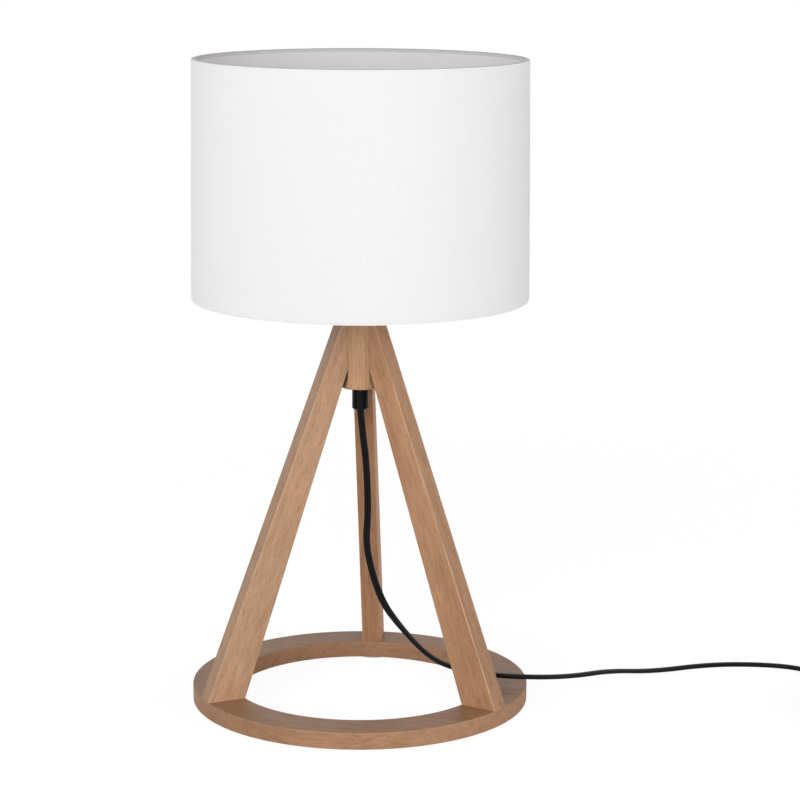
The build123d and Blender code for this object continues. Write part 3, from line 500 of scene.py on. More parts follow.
def cloth_profile(sizes):
    """Middle line of the shade's cloth as radius and height.

    It starts on the lining, goes to the bottom wire, round under it and up the face, and then over and round
    the top wire and back to the lining. Each hem is a circle about its wire, drawn out to a quarter ellipse
    where it meets the face, and leaves the circle in a straight line.
    """
    roll = sizes.hem_roll
    sweep = np.linspace(HEM_TUCK, 0.0, HEM_STEPS)
    inset = 1.5 * sizes.cloth + SHADE_GAP + sizes.film + SHADE_GAP
    hems = []
    for node, end in (("shade_bottom_wire", -1), ("shade_top_wire", 1)):
        bottom, top = span(node)
        height = (top + bottom) / 2
        wire = high(node)[0] - (top - bottom) / 2
        reach = shade_radius(height) - sizes.cloth / 2 - wire
        out = np.where(sweep < math.pi / 2, reach, roll)
        hem = np.c_[wire + out * np.cos(sweep), height + end * roll * np.sin(sweep)]
        wall = shade_radius(height) - inset
        drop = (wall - hem[0, 0]) / math.tan(math.pi - HEM_TUCK)
        tail = hem[0, 1] + end * drop - end * np.array([HEM_TAIL, HEM_TAIL / 2, 0.0])
        hems.append(np.r_[np.c_[np.full(3, wall), tail], hem])
    under, over = hems
    share = np.linspace(0.0, 1.0, FACE_STEPS)[1:-1, None]
    face = under[-1] + (over[-1] - under[-1]) * share
    return np.r_[under, face, over[::-1]]


def thick_sheet(line, thickness):
    """Both faces of a sheet about its middle line, as one closed outline, outer face first."""
    ahead = unit(np.gradient(line, axis=0))
    normal = np.c_[ahead[:, 1], -ahead[:, 0]]
    return np.r_[line + normal * thickness / 2, (line - normal * thickness / 2)[::-1]], normal


def film_surface(sizes):
    """The shade's lining: a thin cone just inside the cloth, from one hem to the other."""
    heights = np.linspace(low("shade_bottom_wire")[2], high("shade_top_wire")[2], FILM_STEPS)
    inset = sizes.cloth + SHADE_GAP + sizes.film / 2
    line = np.c_[[shade_radius(height) - inset for height in heights], heights]
    return turned(thick_sheet(line, sizes.film)[0], full_turn(sizes.turn_steps))


def cloth_surface(sizes):
    """The shade's cloth: its middle line thickened to both sides and turned about the axis.

    Over the lap at the back the cloth lies double, so its face steps out there by one thickness. Returns the
    points, the rulers along the line and round the shade, and the stretch of the line that a hem's inner side
    takes up.
    """
    line = cloth_profile(sizes)
    outline, normal = thick_sheet(line, sizes.cloth)
    middle = line[len(line) // 2, 0]
    half = sizes.lap / 2
    edges = np.r_[-half - LAP_STEP, -half, half, half + LAP_STEP] / middle + math.pi / 2
    angles = np.sort(np.r_[full_turn(sizes.turn_steps), edges])
    away = np.abs(angles - math.pi / 2) * middle
    proud = sizes.cloth * np.clip((half + LAP_STEP - away) / LAP_STEP, 0.0, 1.0)
    faced = np.r_[np.clip(normal[:, 0], 0.0, 1.0), np.zeros(len(line))]
    grid = turned(outline, angles)
    grid += away_from_axis(angles)[:, None, :] * (proud[:, None] * faced[None, :])[..., None]
    done = strides(line)
    rolled = (done[3], done[3] + sizes.hem_roll * (HEM_TUCK - math.pi / 2))
    return grid, np.r_[done, done[::-1], 0.0], np.r_[angles, angles[0] + 2 * math.pi] * middle, rolled


def threaded(outline, marks, pitch, depth):
    """An outline turned about the axis, with a round thread cut where marks is 1.

    The radius falls by the depth in a cosine wave that moves up by one pitch for each turn.
    """
    angles = full_turn(THREAD_STEPS)
    phase = outline[None, :, 1] / pitch - angles[:, None] / (2 * math.pi)
    cut = marks[None, :] * depth * (0.5 - 0.5 * np.cos(2 * math.pi * phase))
    return turned(outline, angles) - away_from_axis(angles)[:, None, :] * cut[..., None]


def holder_body_surface():
    """The holder's body: a flange, a threaded wall, a lip over the top and a plain bore."""
    bottom, top = span("holder_body")
    rim = high("holder_body")[0]
    flange = bottom + HOLDER_FLANGE
    under_lip = top - HOLDER_LIP_THICKNESS
    ease = HOLDER_EASE
    climb = np.linspace(flange, top - HOLDER_CHAMFER, THREAD_ROWS)
    foot = [(HOLDER_BORE, bottom), (rim - ease, bottom), (rim, bottom + ease)]
    foot += [(rim, flange - ease), (rim - ease, flange)]
    outline = np.r_[
        foot,
        np.c_[np.full(len(climb), HOLDER_WALL), climb],
        [(HOLDER_WALL - HOLDER_CHAMFER, top), (HOLDER_LIP + ease, top), (HOLDER_LIP, top - ease)],
        [(HOLDER_LIP, under_lip), (HOLDER_BORE, under_lip)],
    ]
    inward = np.minimum(climb - flange, climb[-1] - climb)
    marks = np.zeros(len(outline))
    marks[len(foot):len(foot) + len(climb)] = np.clip(inward / THREAD_RUN_OUT, 0.0, 1.0)
    return threaded(outline, marks, THREAD_PITCH, THREAD_DEPTH)


def screw_shell_surface():
    """The screw shell: thin sheet rolled into a round thread, the same wave inside and out."""
    bottom, top = span("screw_shell")
    outer = high("screw_shell")[0]
    climb = np.linspace(bottom, top, THREAD_ROWS)
    outline = np.r_[
        np.c_[np.full(len(climb), outer), climb],
        np.c_[np.full(len(climb), outer - SHELL_WALL), climb[::-1]],
    ]
    return threaded(outline, np.ones(len(outline)), CAP_THREAD_PITCH, CAP_THREAD_DEPTH)


# Flex

def spline_points(name, route):
    """Points along the NURBS spline of order 3 that has the route's points as its control points."""
    line = bpy.data.curves.new(name, "CURVE")
    line.dimensions = "3D"
    line.resolution_u = SPLINE_STEPS
    spline = line.splines.new("NURBS")
    spline.points.add(len(route) - 1)
    spline.points.foreach_set("co", np.c_[route, np.ones(len(route))].ravel())
    spline.order_u = 3
    spline.use_endpoint_u = True
    holder = bpy.data.objects.new(name, line)
    mesh = bpy.data.meshes.new_from_object(holder)
    points = np.zeros(3 * len(mesh.vertices))
    mesh.vertices.foreach_get("co", points)
    bpy.data.objects.remove(holder)
    bpy.data.curves.remove(line)
    bpy.data.meshes.remove(mesh)
    return points.reshape(-1, 3)


def unit(vectors):
    """Vectors of length 1."""
    return vectors / np.maximum(np.linalg.norm(vectors, axis=-1, keepdims=True), 1e-9)


def ease_in(value, start, end):
    """0 before start, 1 after end, and a smooth step between."""
    share = np.clip((value - start) / (end - start), 0.0, 1.0)
    return share * share * (3 - 2 * share)


def strides(path):
    """Length from the start of a path to each of its points."""
    return np.r_[0.0, np.cumsum(np.linalg.norm(np.diff(path, axis=0), axis=1))]


def level_across(path):
    """Level direction across a path at each of its points."""
    return unit(np.cross(UP, unit(np.gradient(path, axis=0))))


def flat_flex(name, path, broad, sizes):
    """A flat flex: an oval of two half circles and two flats, carried along a path.

    At each point the oval's long side lies along broad, made square to the path there.
    """
    ahead = unit(np.gradient(path, axis=0))
    broad = unit(broad - ahead * np.sum(broad * ahead, axis=1, keepdims=True))
    thin = np.cross(ahead, broad)
    end = sizes.flex_thickness / 2
    flat = sizes.flex_width / 2 - end
    turn = np.linspace(-math.pi / 2, math.pi / 2, FLEX_END_STEPS)
    right = np.c_[flat + end * np.cos(turn), end * np.sin(turn)]
    side = FLEX_GROOVE_SIDE * flat
    groove = np.array([(side, end), (0.0, FLEX_GROOVE * end), (-side, end)])
    oval = np.r_[right, groove, -right, -groove]
    grid = path[:, None, :] + broad[:, None, :] * oval[None, :, :1] + thin[:, None, :] * oval[None, :, 1:]
    around = strides(np.r_[oval, oval[:1]])
    return surface_piece(name, grid, caps=True, rulers=(around, strides(path)), crease=60.0)


def coil_route():
    """Control points of the put-away coil, in millimetres.

    The turns spiral in at one pitch a turn on the lower layer, climb in a half turn at the middle, and spiral
    out at the same rate on the upper layer.
    """
    total = 2 * COIL_LAYER_TURNS + COIL_CLIMB_TURNS
    turns = np.linspace(0.0, total, int(total * COIL_POINTS_A_TURN) + 1)
    inner = COIL_RADIUS - COIL_PITCH * COIL_LAYER_TURNS
    climb = np.clip(turns - COIL_LAYER_TURNS, 0.0, COIL_CLIMB_TURNS)
    back_out = inner + COIL_PITCH * np.clip(turns - COIL_LAYER_TURNS - COIL_CLIMB_TURNS, 0.0, None)
    radius = np.where(turns < COIL_LAYER_TURNS, COIL_RADIUS - COIL_PITCH * turns, back_out)
    radius -= COIL_PITCH * climb * (1 - climb / COIL_CLIMB_TURNS)
    rise = 0.5 - 0.5 * np.cos(math.pi * climb / COIL_CLIMB_TURNS)
    angle = math.pi * (1 + 2 * turns)
    return np.c_[
        COIL_CENTRE[0] + radius * np.cos(angle),
        COIL_CENTRE[1] + radius * np.sin(angle),
        COIL_LOW + (COIL_HIGH - COIL_LOW) * rise,
    ]


# Finishes

def give(tree, socket, value):
    """Links a value to a socket, or sets it there."""
    if isinstance(value, bpy.types.NodeSocket):
        tree.links.new(value, socket)
    else:
        socket.default_value = value


def add(tree, kind, inputs=None, **settings):
    """Adds a shader node, links or sets its inputs, and returns it."""
    node = tree.nodes.new(kind)
    for key, value in settings.items():
        setattr(node, key, value)
    for key, value in (inputs or {}).items():
        give(tree, node.inputs[key], value)
    return node


def empty_finish(name):
    """A new material and its node tree, with nothing in it."""
    finish = bpy.data.materials.new(name)
    finish.use_nodes = True
    finish.node_tree.nodes.clear()
    return finish, finish.node_tree


def blank_finish(name):
    """A new material with only its shader and output, with its node tree and the shader."""
    finish, tree = empty_finish(name)
    shader = add(tree, "ShaderNodeBsdfPrincipled")
    add(tree, "ShaderNodeOutputMaterial", {"Surface": shader.outputs["BSDF"]})
    return finish, tree, shader


def noise(tree, place, scale, detail=2.0, roughness=0.5):
    """Noise from about 0 to 1. The scale is how often it repeats in a metre, in all or along each axis."""
    spaced = add(tree, "ShaderNodeMapping", {"Vector": place, "Scale": np.broadcast_to(scale, 3).tolist()})
    node = add(tree, "ShaderNodeTexNoise", {"Vector": spaced.outputs["Vector"], "Scale": 1.0,
                                            "Detail": detail, "Roughness": roughness})
    return node.outputs["Fac"]


def reckon(tree, operation, first, second=0.0):
    """One step of arithmetic."""
    return add(tree, "ShaderNodeMath", {0: first, 1: second}, operation=operation).outputs[0]


def spread(tree, value, given, wanted):
    """A value carried from the range that it has to the range that it gets, and held to it."""
    node = add(tree, "ShaderNodeMapRange", {"Value": value, "From Min": given[0], "From Max": given[1],
                                            "To Min": wanted[0], "To Max": wanted[1]})
    return node.outputs["Result"]


def shades(tree, value, stops):
    """Colours along a ramp, as pairs of place and colour."""
    node = add(tree, "ShaderNodeValToRGB", {"Fac": value})
    ramp = node.color_ramp
    while len(ramp.elements) < len(stops):
        ramp.elements.new(0.5)
    for element, (place, tint) in zip(ramp.elements, stops):
        element.position = place
        element.color = (*tint, 1.0)
    return node.outputs["Color"]


def mixed(tree, factor, first, second):
    """Two colours mixed by a factor."""
    node = add(tree, "ShaderNodeMix", {0: factor, 6: first, 7: second}, data_type="RGBA")
    return node.outputs[2]


def raised(tree, height, strength, depth):
    """A bump from a height."""
    node = add(tree, "ShaderNodeBump", {"Height": height, "Strength": strength, "Distance": depth})
    return node.outputs["Normal"]


def feed(tree, shader, **sockets):
    """Links or sets the shader's sockets, named with _ for each space."""
    for name, value in sockets.items():
        give(tree, shader.inputs[name.replace("_", " ")], value)


def tinted(tint, share):
    """A colour times one share, or times a share for each channel."""
    return tuple(np.minimum(1.0, np.multiply(tuple(tint), share)).tolist())


def object_place(tree):
    """Object coordinates, in metres."""
    return add(tree, "ShaderNodeTexCoord").outputs["Object"]


def flat_place(tree):
    """The piece's own UV lengths, in metres."""
    return add(tree, "ShaderNodeUVMap", uv_map="flat").outputs["UV"]


def along_board(tree, along, across, shift):
    """Object coordinates turned so that their third axis runs along a board's grain."""
    grain = Vector(along).normalized()
    side = Vector(across)
    side = (side - grain * side.dot(grain)).normalized()
    turn = Matrix((side, grain.cross(side), grain)).to_euler()
    return add(tree, "ShaderNodeMapping",
               {"Vector": object_place(tree), "Rotation": turn, "Location": shift}).outputs["Vector"]


def wavering(tree, place):
    """Grain coordinates that drift sideways by up to half of GRAIN_DRIFT as they run along the wood."""
    drift = noise(tree, place, (0.0, 0.0, 7.0), detail=1.0)
    drift = reckon(tree, "MULTIPLY", reckon(tree, "SUBTRACT", drift, 0.5), GRAIN_DRIFT)
    aside = add(tree, "ShaderNodeCombineXYZ", {"X": drift, "Y": drift}).outputs["Vector"]
    return add(tree, "ShaderNodeVectorMath", {0: place, 1: aside}, operation="ADD").outputs["Vector"]


def place_along(tree, axis):
    """Object coordinate along one axis."""
    return add(tree, "ShaderNodeSeparateXYZ", {0: object_place(tree)}).outputs[axis]


def vector_length(tree, vector):
    """Length of a vector."""
    return add(tree, "ShaderNodeVectorMath", {0: vector}, operation="LENGTH").outputs["Value"]


def axis_distance(tree):
    """Distance from the lamp's axis."""
    level = add(tree, "ShaderNodeVectorMath", {0: object_place(tree), 1: (1.0, 1.0, 0.0)},
                operation="MULTIPLY")
    return vector_length(tree, level.outputs["Vector"])


def notch_painted_shade(tree):
    """Painted shade in the hub's notches, on the left, where the crevice beside each leg lies in shadow."""
    return reckon(tree, "MULTIPLY", spread(tree, axis_distance(tree), *NOTCH_PAINTED_SHADE),
                  spread(tree, place_along(tree, "X"), *NOTCH_SIDE))


def marked(tree, name):
    """A value that the mesh carries under a name."""
    return add(tree, "ShaderNodeAttribute", attribute_name=name).outputs["Fac"]


def ring_painted_shade(tree):
    """Painted shade: darker stretches at the left and right of the ring, a darker bore and a darker top,
    where less light falls.
    """
    across = place_along(tree, "X")
    top = reckon(tree, "MULTIPLY", marked(tree, "side"), spread(tree, place_along(tree, "Y"), *RING_TOP_PAINTED_SHADE))
    painted_shade = reckon(tree, "MAXIMUM", top, spread(tree, axis_distance(tree), *RING_BORE_PAINTED_SHADE))
    for stretch in (RING_LEFT_PAINTED_SHADE, RING_RIGHT_PAINTED_SHADE):
        painted_shade = reckon(tree, "MAXIMUM", painted_shade, spread(tree, across, *stretch))
    return painted_shade


def edge_painted_shade(shade):
    """Painted shade that darkens a board's outer edge, by one shade at its bottom and another at its top."""
    def painted_shade(tree):
        grade = spread(tree, place_along(tree, "Z"), LEG_SPAN, shade)
        return reckon(tree, "MULTIPLY", marked(tree, "side"), grade)
    return painted_shade


def oak(name, lay, tone=1.0, painted_shade=None, rough=(0.52, 0.68), satin=0.0):
    """Oiled oak: growth layers, fine fibres, streaks, mottling and short dark pores, all along the grain.

    The lay is the grain's direction, the direction across it and where the pattern starts. Edges that the
    mesh marks are paler, partly as wear and partly as a painted highlight, more in some stretches than in
    others. The painted shade says where the wood is darker because less light falls there. The marked side is
    smoother by the satin.
    """
    colours = bpy.context.scene.lamp_colours
    pale, deep = tinted(colours.oak_light, tone), tinted(colours.oak_dark, tone)
    finish, tree, shader = blank_finish(name)
    place = wavering(tree, along_board(tree, *lay))
    grain = {pattern: noise(tree, place, *settings) for pattern, settings in GRAIN.items()}
    fibres = grain["fibres"]
    pores = spread(tree, grain["dashes"], (0.58, 0.70), (0.0, 1.0))
    dark = 0.0
    for pattern, share in GRAIN_SHARES.items():
        dark = reckon(tree, "ADD", dark, reckon(tree, "MULTIPLY", grain[pattern], share))
    wood = shades(tree, dark, ((0.54, pale), (0.68, tinted(np.add(pale, deep), 0.525)), (0.86, deep)))
    wood = mixed(tree, reckon(tree, "MULTIPLY", pores, PORE_SHARE), wood, (*colours.oak_pore_and_shade, 1.0))
    # Paler arrises, partly wear and partly a painted highlight where an edge catches the light
    broken = spread(tree, grain["breaks"], (0.38, 0.54), (0.40, 1.0))
    wear_and_highlight = reckon(tree, "MULTIPLY", marked(tree, "wear_and_highlight"), broken)
    wood = mixed(tree, wear_and_highlight, wood, (*tinted(pale, WEAR_AND_HIGHLIGHT_TINT), 1.0))
    # Painted shade, mixed towards a dark pore colour
    if painted_shade is not None:
        wood = mixed(tree, painted_shade(tree), wood, (*tinted(colours.oak_pore_and_shade, 0.6), 1.0))
    feed(tree, shader,
         Base_Color=wood,
         Roughness=reckon(tree, "SUBTRACT", spread(tree, fibres, (0.3, 0.7), rough),
                          reckon(tree, "MULTIPLY", marked(tree, "side"), satin)),
         Specular_IOR_Level=0.3,
         Normal=raised(tree, reckon(tree, "SUBTRACT", fibres, pores), 0.25, 0.0003))
    return finish


def woven_cloth(white, drop, rolled):
    """Fine plain weave: threads up and round the shade, a few thicker ones, and a dull sheen.

    The cloth is as long as the drop, and greyer over the rolled stretch at both ends: painted shade on the
    hems' inner side.
    """
    finish, tree, shader = blank_finish("shade_cloth")
    flat = flat_place(tree)
    axes = add(tree, "ShaderNodeSeparateXYZ", {0: flat}).outputs
    threads = []
    for axis in ("X", "Y"):
        phase = reckon(tree, "MULTIPLY", axes[axis], THREADS_A_METRE * math.pi)
        threads.append(reckon(tree, "ABSOLUTE", reckon(tree, "SINE", phase)))
    weave = reckon(tree, "MAXIMUM", *threads)
    slubs = reckon(tree, "MAXIMUM",
                   noise(tree, flat, (2200.0, 40.0, 1.0), detail=1.0),
                   noise(tree, flat, (40.0, 2200.0, 1.0), detail=1.0))
    tint = shades(tree, slubs, ((0.35, tuple(white)), (0.85, tinted(white, 0.955))))
    height = reckon(tree, "ADD", reckon(tree, "MULTIPLY", weave, 0.6), slubs)
    end = reckon(tree, "MINIMUM", axes["X"], reckon(tree, "SUBTRACT", drop, axes["X"]))
    # Painted shade over the rolled hems
    painted_hem_shade = reckon(tree, "MULTIPLY", spread(tree, end, (rolled[0] - HEM_FADE, rolled[0]), (0.0, 1.0)),
                  spread(tree, end, (rolled[1], rolled[1] + HEM_FADE), (1.0, 0.0)))
    tint = mixed(tree, painted_hem_shade, tint, (*tinted(white, 0.76), 1.0))
    feed(tree, shader, Base_Color=tint, Roughness=0.85, Specular_IOR_Level=0.2, Sheen_Weight=0.25,
         Sheen_Roughness=0.5, Normal=raised(tree, height, 0.12, 0.00012))
    return finish


def patterned(name, tint, tone, gloss, relief, place=object_place, **sockets):
    """A finish from three noises, each with its scale and detail: for the tone, the gloss and the relief.

    The tone has pairs of place and share of the tint, the gloss the noise's range and the roughness there,
    and the relief its strength and depth.
    """
    finish, tree, shader = blank_finish(name)
    where = place(tree)
    stops = [(at, tinted(tint, share)) for at, share in tone[1:]]
    feed(tree, shader,
         Base_Color=shades(tree, noise(tree, where, *tone[0]), stops),
         Roughness=spread(tree, noise(tree, where, *gloss[0]), *gloss[1:]),
         Normal=raised(tree, noise(tree, where, *relief[0]), *relief[1:]),
         **sockets)
    return finish


def film_lining(tint):
    """White film behind the cloth, with a faint wave and a soft gloss."""
    wave, fine = ((60.0, 60.0, 12.0), 2.0), (1800.0, 1.0)
    return patterned(
        "shade_lining", tint,
        tone=(wave, (0.3, 0.97), (0.7, 1.0)),
        gloss=(fine, (0.3, 0.7), (0.48, 0.58)),
        relief=(fine, 0.08, 0.0001),
        Specular_IOR_Level=0.3,
    )


def moulded(name, tint, rough, grain_scale, depth):
    """Moulded plastic or rubber: fine sparked texture, faint flow marks and uneven gloss."""
    flow = (90.0, 3.0)
    return patterned(
        name, tint,
        tone=(flow, (0.3, 0.85), (0.7, 1.25)),
        gloss=(flow, (0.3, 0.7), (rough - 0.05, rough + 0.07)),
        relief=((grain_scale, 2.0), 0.22, depth),
        Specular_IOR_Level=0.1,
    )


def flex_sheath(tint):
    """Black sheath: lines drawn along the flex, faint scuffs and a satin gloss."""
    drawn, scuffs = ((2600.0, 40.0, 1.0), 2.0), ((300.0, 110.0, 1.0), 3.0)
    return patterned(
        "flex", tint,
        tone=(scuffs, (0.35, 1.0), (0.75, 1.7)),
        gloss=(scuffs, (0.3, 0.75), (0.36, 0.50)),
        relief=(drawn, 0.15, 0.0001),
        place=flat_place, Specular_IOR_Level=0.1,
    )


def plated(name, tint, rough, brush):
    """Plated metal: faint brushed lines, a mottled plate and duller spots."""
    mottle = (500.0, 3.0)
    return patterned(
        name, tint,
        tone=(mottle, (0.3, 0.92), (0.7, 1.0)),
        gloss=(mottle, (0.3, 0.7), (rough - 0.03, rough + 0.05)),
        relief=((brush, 2.0), 0.12, 0.0001),
        Metallic=1.0,
    )


def glazed(name, tint, rough):
    """Glaze or enamel: a smooth coat with a slight orange peel and tiny specks."""
    peel, specks = (700.0, 1.0), (2400.0, 1.0)
    return patterned(
        name, tint,
        tone=(specks, (0.30, 0.88), (0.42, 1.0)),
        gloss=(peel, (0.3, 0.7), (rough - 0.04, rough + 0.06)),
        relief=(peel, 0.10, 0.0001),
        Coat_Weight=0.3,
    )


def pressed_felt(tint):
    """Pressed felt: matted fibres, tufts and no gloss."""
    finish, tree, shader = blank_finish("felt")
    place = object_place(tree)
    fibres = noise(tree, place, (2600.0, 700.0, 1500.0), detail=3.0, roughness=0.7)
    tufts = noise(tree, place, 450.0)
    mat = reckon(tree, "MULTIPLY", reckon(tree, "ADD", fibres, tufts), 0.5)
    feed(tree, shader,
         Base_Color=shades(tree, mat, ((0.35, tinted(tint, 0.6)), (0.65, tinted(tint, 1.3)))),
         Roughness=0.95, Specular_IOR_Level=0.1, Sheen_Weight=0.3, Sheen_Roughness=0.6,
         Normal=raised(tree, mat, 0.6, 0.0005))
    return finish


# Operators

class LAMP_OT_legs(Operator):
    """Three leg boards, each with the grain along its own length"""

    bl_idname = "lamp.legs"
    bl_label = "Legs"

    def execute(self, context):
        sizes = context.scene.lamp_sizes
        for number, (node, azimuth) in enumerate(LEG_AZIMUTHS.items()):
            start = np.add(LEG_GRAIN_START, np.multiply(LEG_GRAIN_STEP, number)).tolist()
            lay = (*leg_grain(sizes, azimuth), start)
            # Each leg gets painted shade on its outer edge, and paler arrises that are partly wear and partly
            # a painted highlight
            finish = oak(f"oak_{node}", lay, LEG_TONES[node], edge_painted_shade(LEG_EDGE_PAINTED_SHADE[node]))
            marks = {"wear_and_highlight": corner_wear_and_highlight(LEG_WEAR_AND_HIGHLIGHT[node]), "side": side_mark(2)}
            piece = surface_piece(f"{node}_board", leg_surface(sizes, azimuth), caps=True, marks=marks)
            dress(piece, "root", "oak", finish, node)
        return {"FINISHED"}


class LAMP_OT_base_ring(Operator):
    """The flat ring that the legs stand on, and its felt pads"""

    bl_idname = "lamp.base_ring"
    bl_label = "Base ring"

    def execute(self, context):
        sizes = context.scene.lamp_sizes
        turn = math.radians(RING_GRAIN)
        slope = (math.sin(turn), -math.cos(turn), 1.0)
        lay = ((math.cos(turn), math.sin(turn), 0.0), slope, RING_GRAIN_START)
        # The ring gets painted shade at its sides, top and bore, and paler arrises that are partly wear and
        # partly a painted highlight
        finish = oak("oak_ring", lay, RING_TONE, ring_painted_shade, RING_ROUGH, RING_SATIN)
        piece = surface_piece("ring_board", ring_surface(sizes), wrap_rows=True,
                              marks={"wear_and_highlight": corner_wear_and_highlight(RING_WEAR_AND_HIGHLIGHT), "side": side_mark(3)})
        dress(piece, "root", "oak", finish, "base_ring")
        paint(pressed_felt(context.scene.lamp_colours.felt), "felt_pads")
        return {"FINISHED"}


class LAMP_OT_hub(Operator):
    """The turned block between the tops of the legs, and the dowels"""

    bl_idname = "lamp.hub"
    bl_label = "Hub"

    def execute(self, context):
        sizes = context.scene.lamp_sizes
        upright = (UP, (1.0, 0.0, 0.0))
        # The hub's wood carries painted shade in its notches
        finish = oak("oak_hub", (*upright, HUB_GRAIN_START), HUB_TONE, notch_painted_shade)
        piece = surface_piece("hub_block", hub_surface(sizes), caps=True)
        dress(piece, "root", "oak", finish, "hub")
        paint(oak("dowel_wood", (*upright, DOWEL_GRAIN_START)), "foot_dowels", "hub_dowels")
        return {"FINISHED"}


class LAMP_OT_shade(Operator):
    """The drum shade: cloth with rolled hems, its lining and its wires"""

    bl_idname = "lamp.shade"
    bl_label = "Shade"

    def execute(self, context):
        sizes = context.scene.lamp_sizes
        colours = context.scene.lamp_colours
        grid, along, around, rolled = cloth_surface(sizes)
        cloth = surface_piece("shade_drum_cloth", grid, wrap_rows=True, rulers=(along, around))
        drop = float(along.max())
        finish = woven_cloth(colours.cloth, drop, rolled)
        dress(cloth, "shade", "shade_cloth", finish, "shade_cover", "shade_top_hem", "shade_bottom_hem")
        film = surface_piece("shade_film", film_surface(sizes), wrap_rows=True)
        dress(film, "shade", "shade_lining", film_lining(colours.lining), "shade_liner")
        enamel = glazed("white_enamel", colours.enamel, 0.3)
        paint(enamel, "shade_top_wire", "shade_bottom_wire", "shade_spider")
        return {"FINISHED"}


class LAMP_OT_lampholder(Operator):
    """The lampholder with its threads, its clamp ring and the grip under the hub"""

    bl_idname = "lamp.lampholder"
    bl_label = "Lampholder"

    def execute(self, context):
        colours = context.scene.lamp_colours
        plastic = moulded("black_plastic", colours.plastic, 0.36, 2600.0, 0.0001)
        body = surface_piece("holder_threaded_body", holder_body_surface(), wrap_rows=True)
        dress(body, "root", "black_plastic", plastic, "holder_body")
        paint(plastic, "holder_cap", "clamp_ring", "cord_grip")
        brass = plated("brass", colours.brass, 0.30, (900.0, 900.0, 60.0))
        shell = surface_piece("holder_screw_shell", screw_shell_surface(), wrap_rows=True)
        dress(shell, "root", "brass", brass, "screw_shell")
        paint(brass, "centre_contact", "terminal_screws")
        paint(glazed("porcelain", colours.porcelain, 0.16), "holder_core")
        return {"FINISHED"}


class LAMP_OT_metal(Operator):
    """Plated fasteners, the flex inside the threaded tube and the thin wires"""

    bl_idname = "lamp.metal"
    bl_label = "Fasteners"

    def execute(self, context):
        colours = context.scene.lamp_colours
        zinc = plated("zinc_steel", colours.zinc, 0.34, (700.0, 700.0, 90.0))
        paint(zinc, "threaded_tube", "hub_washer", "lock_nut", "foot_screws", "grip_screw", "case_screws",
              "rocker_pin")
        paint(moulded("inner_sheath", colours.flex, 0.45, 1800.0, 0.0001), "inner_cord")
        insulation = moulded("core_insulation", colours.insulation, 0.4, 2000.0, 0.0001)
        paint(insulation, "core_wires", "switch_wires")
        return {"FINISHED"}


class LAMP_OT_flex(Operator):
    """The flat flex from the grip to the switch and through the coil to the plug, its tie and its relief"""

    bl_idname = "lamp.flex"
    bl_label = "Flex"

    def execute(self, context):
        sizes = context.scene.lamp_sizes
        colours = context.scene.lamp_colours
        sheath = flex_sheath(colours.flex)
        path = spline_points("lamp_route", np.array(LAMP_ROUTE) * MM)
        lying = ease_in(strides(path), *LIE_DOWN)[:, None]
        broad = (1 - lying) * np.array([1.0, 0.0, 0.0]) + lying * level_across(path)
        lead = flat_flex("flex_to_switch", path, broad, sizes)
        dress(lead, "root", "flex", sheath, "cord_to_switch")

        route = np.r_[np.array(LINK_ROUTE), coil_route(), np.array(TAIL_ROUTE)] * MM
        path = spline_points("coil_route", route)
        done = strides(path)
        standing = ease_in(done, *STAND_UP) - ease_in(done, *np.subtract(done[-1], LIE_AGAIN))
        broad = (1 - standing[:, None]) * level_across(path) + standing[:, None] * UP
        rest = flat_flex("flex_to_plug", path, broad, sizes)
        dress(rest, "root", "flex", sheath, "cord_link", "cord_coil", "cord_tail")
        paint(moulded("black_rubber", colours.rubber, 0.6, 1600.0, 0.0002), "cord_tie", "plug_relief")
        return {"FINISHED"}


class LAMP_OT_switch_and_plug(Operator):
    """The rocker switch on the flex, and the plug"""

    bl_idname = "lamp.switch_and_plug"
    bl_label = "Switch and plug"

    def execute(self, context):
        colours = context.scene.lamp_colours
        casing = moulded("black_casing", colours.plastic, 0.42, 2200.0, 0.00015)
        paint(casing, "switch_base", "switch_lid", "plug_body")
        paint(moulded("black_rocker", colours.plastic, 0.28, 2600.0, 0.0001), "switch_rocker")
        contacts = plated("contact_brass", colours.brass, 0.3, (90.0, 900.0, 900.0))
        paint(contacts, "contact_bridge", "contact_studs")
        paint(plated("nickel", colours.nickel, 0.24, (900.0, 60.0, 900.0)), "plug_pins")
        return {"FINISHED"}


def seen_directly(tree):
    """1 for what the camera, a reflection or clear glass sees, and 0 for light that bounces."""
    ray = add(tree, "ShaderNodeLightPath").outputs
    seen = reckon(tree, "MAXIMUM", ray["Is Camera Ray"], ray["Is Glossy Ray"])
    return reckon(tree, "MAXIMUM", seen, ray["Is Transmission Ray"])


def backdrop_finish(name):
    """Pale floor: plain paper to the light, and to the eye a near white that darkens in the lamp's shadow."""
    finish, tree = empty_finish(name)
    away = vector_length(tree, object_place(tree))
    paper = add(tree, "ShaderNodeBsdfDiffuse", {"Color": (*FLOOR_PAPER, 1.0)})
    glow = add(tree, "ShaderNodeEmission", {"Strength": FLOOR_GLOW})
    shadow = add(tree, "ShaderNodeBsdfDiffuse", {"Color": (*FLOOR_SHADOW, 1.0)})
    near = add(tree, "ShaderNodeAddShader", {0: glow.outputs[0], 1: shadow.outputs[0]})
    white = add(tree, "ShaderNodeEmission", {"Strength": 1.0})
    far = spread(tree, away, SHADOW_REACH, (0.0, 1.0))
    sight = add(tree, "ShaderNodeMixShader", {0: far, 1: near.outputs[0], 2: white.outputs[0]})
    mix = add(tree, "ShaderNodeMixShader", {0: seen_directly(tree), 1: paper.outputs[0], 2: sight.outputs[0]})
    add(tree, "ShaderNodeOutputMaterial", {"Surface": mix.outputs[0]})
    return finish


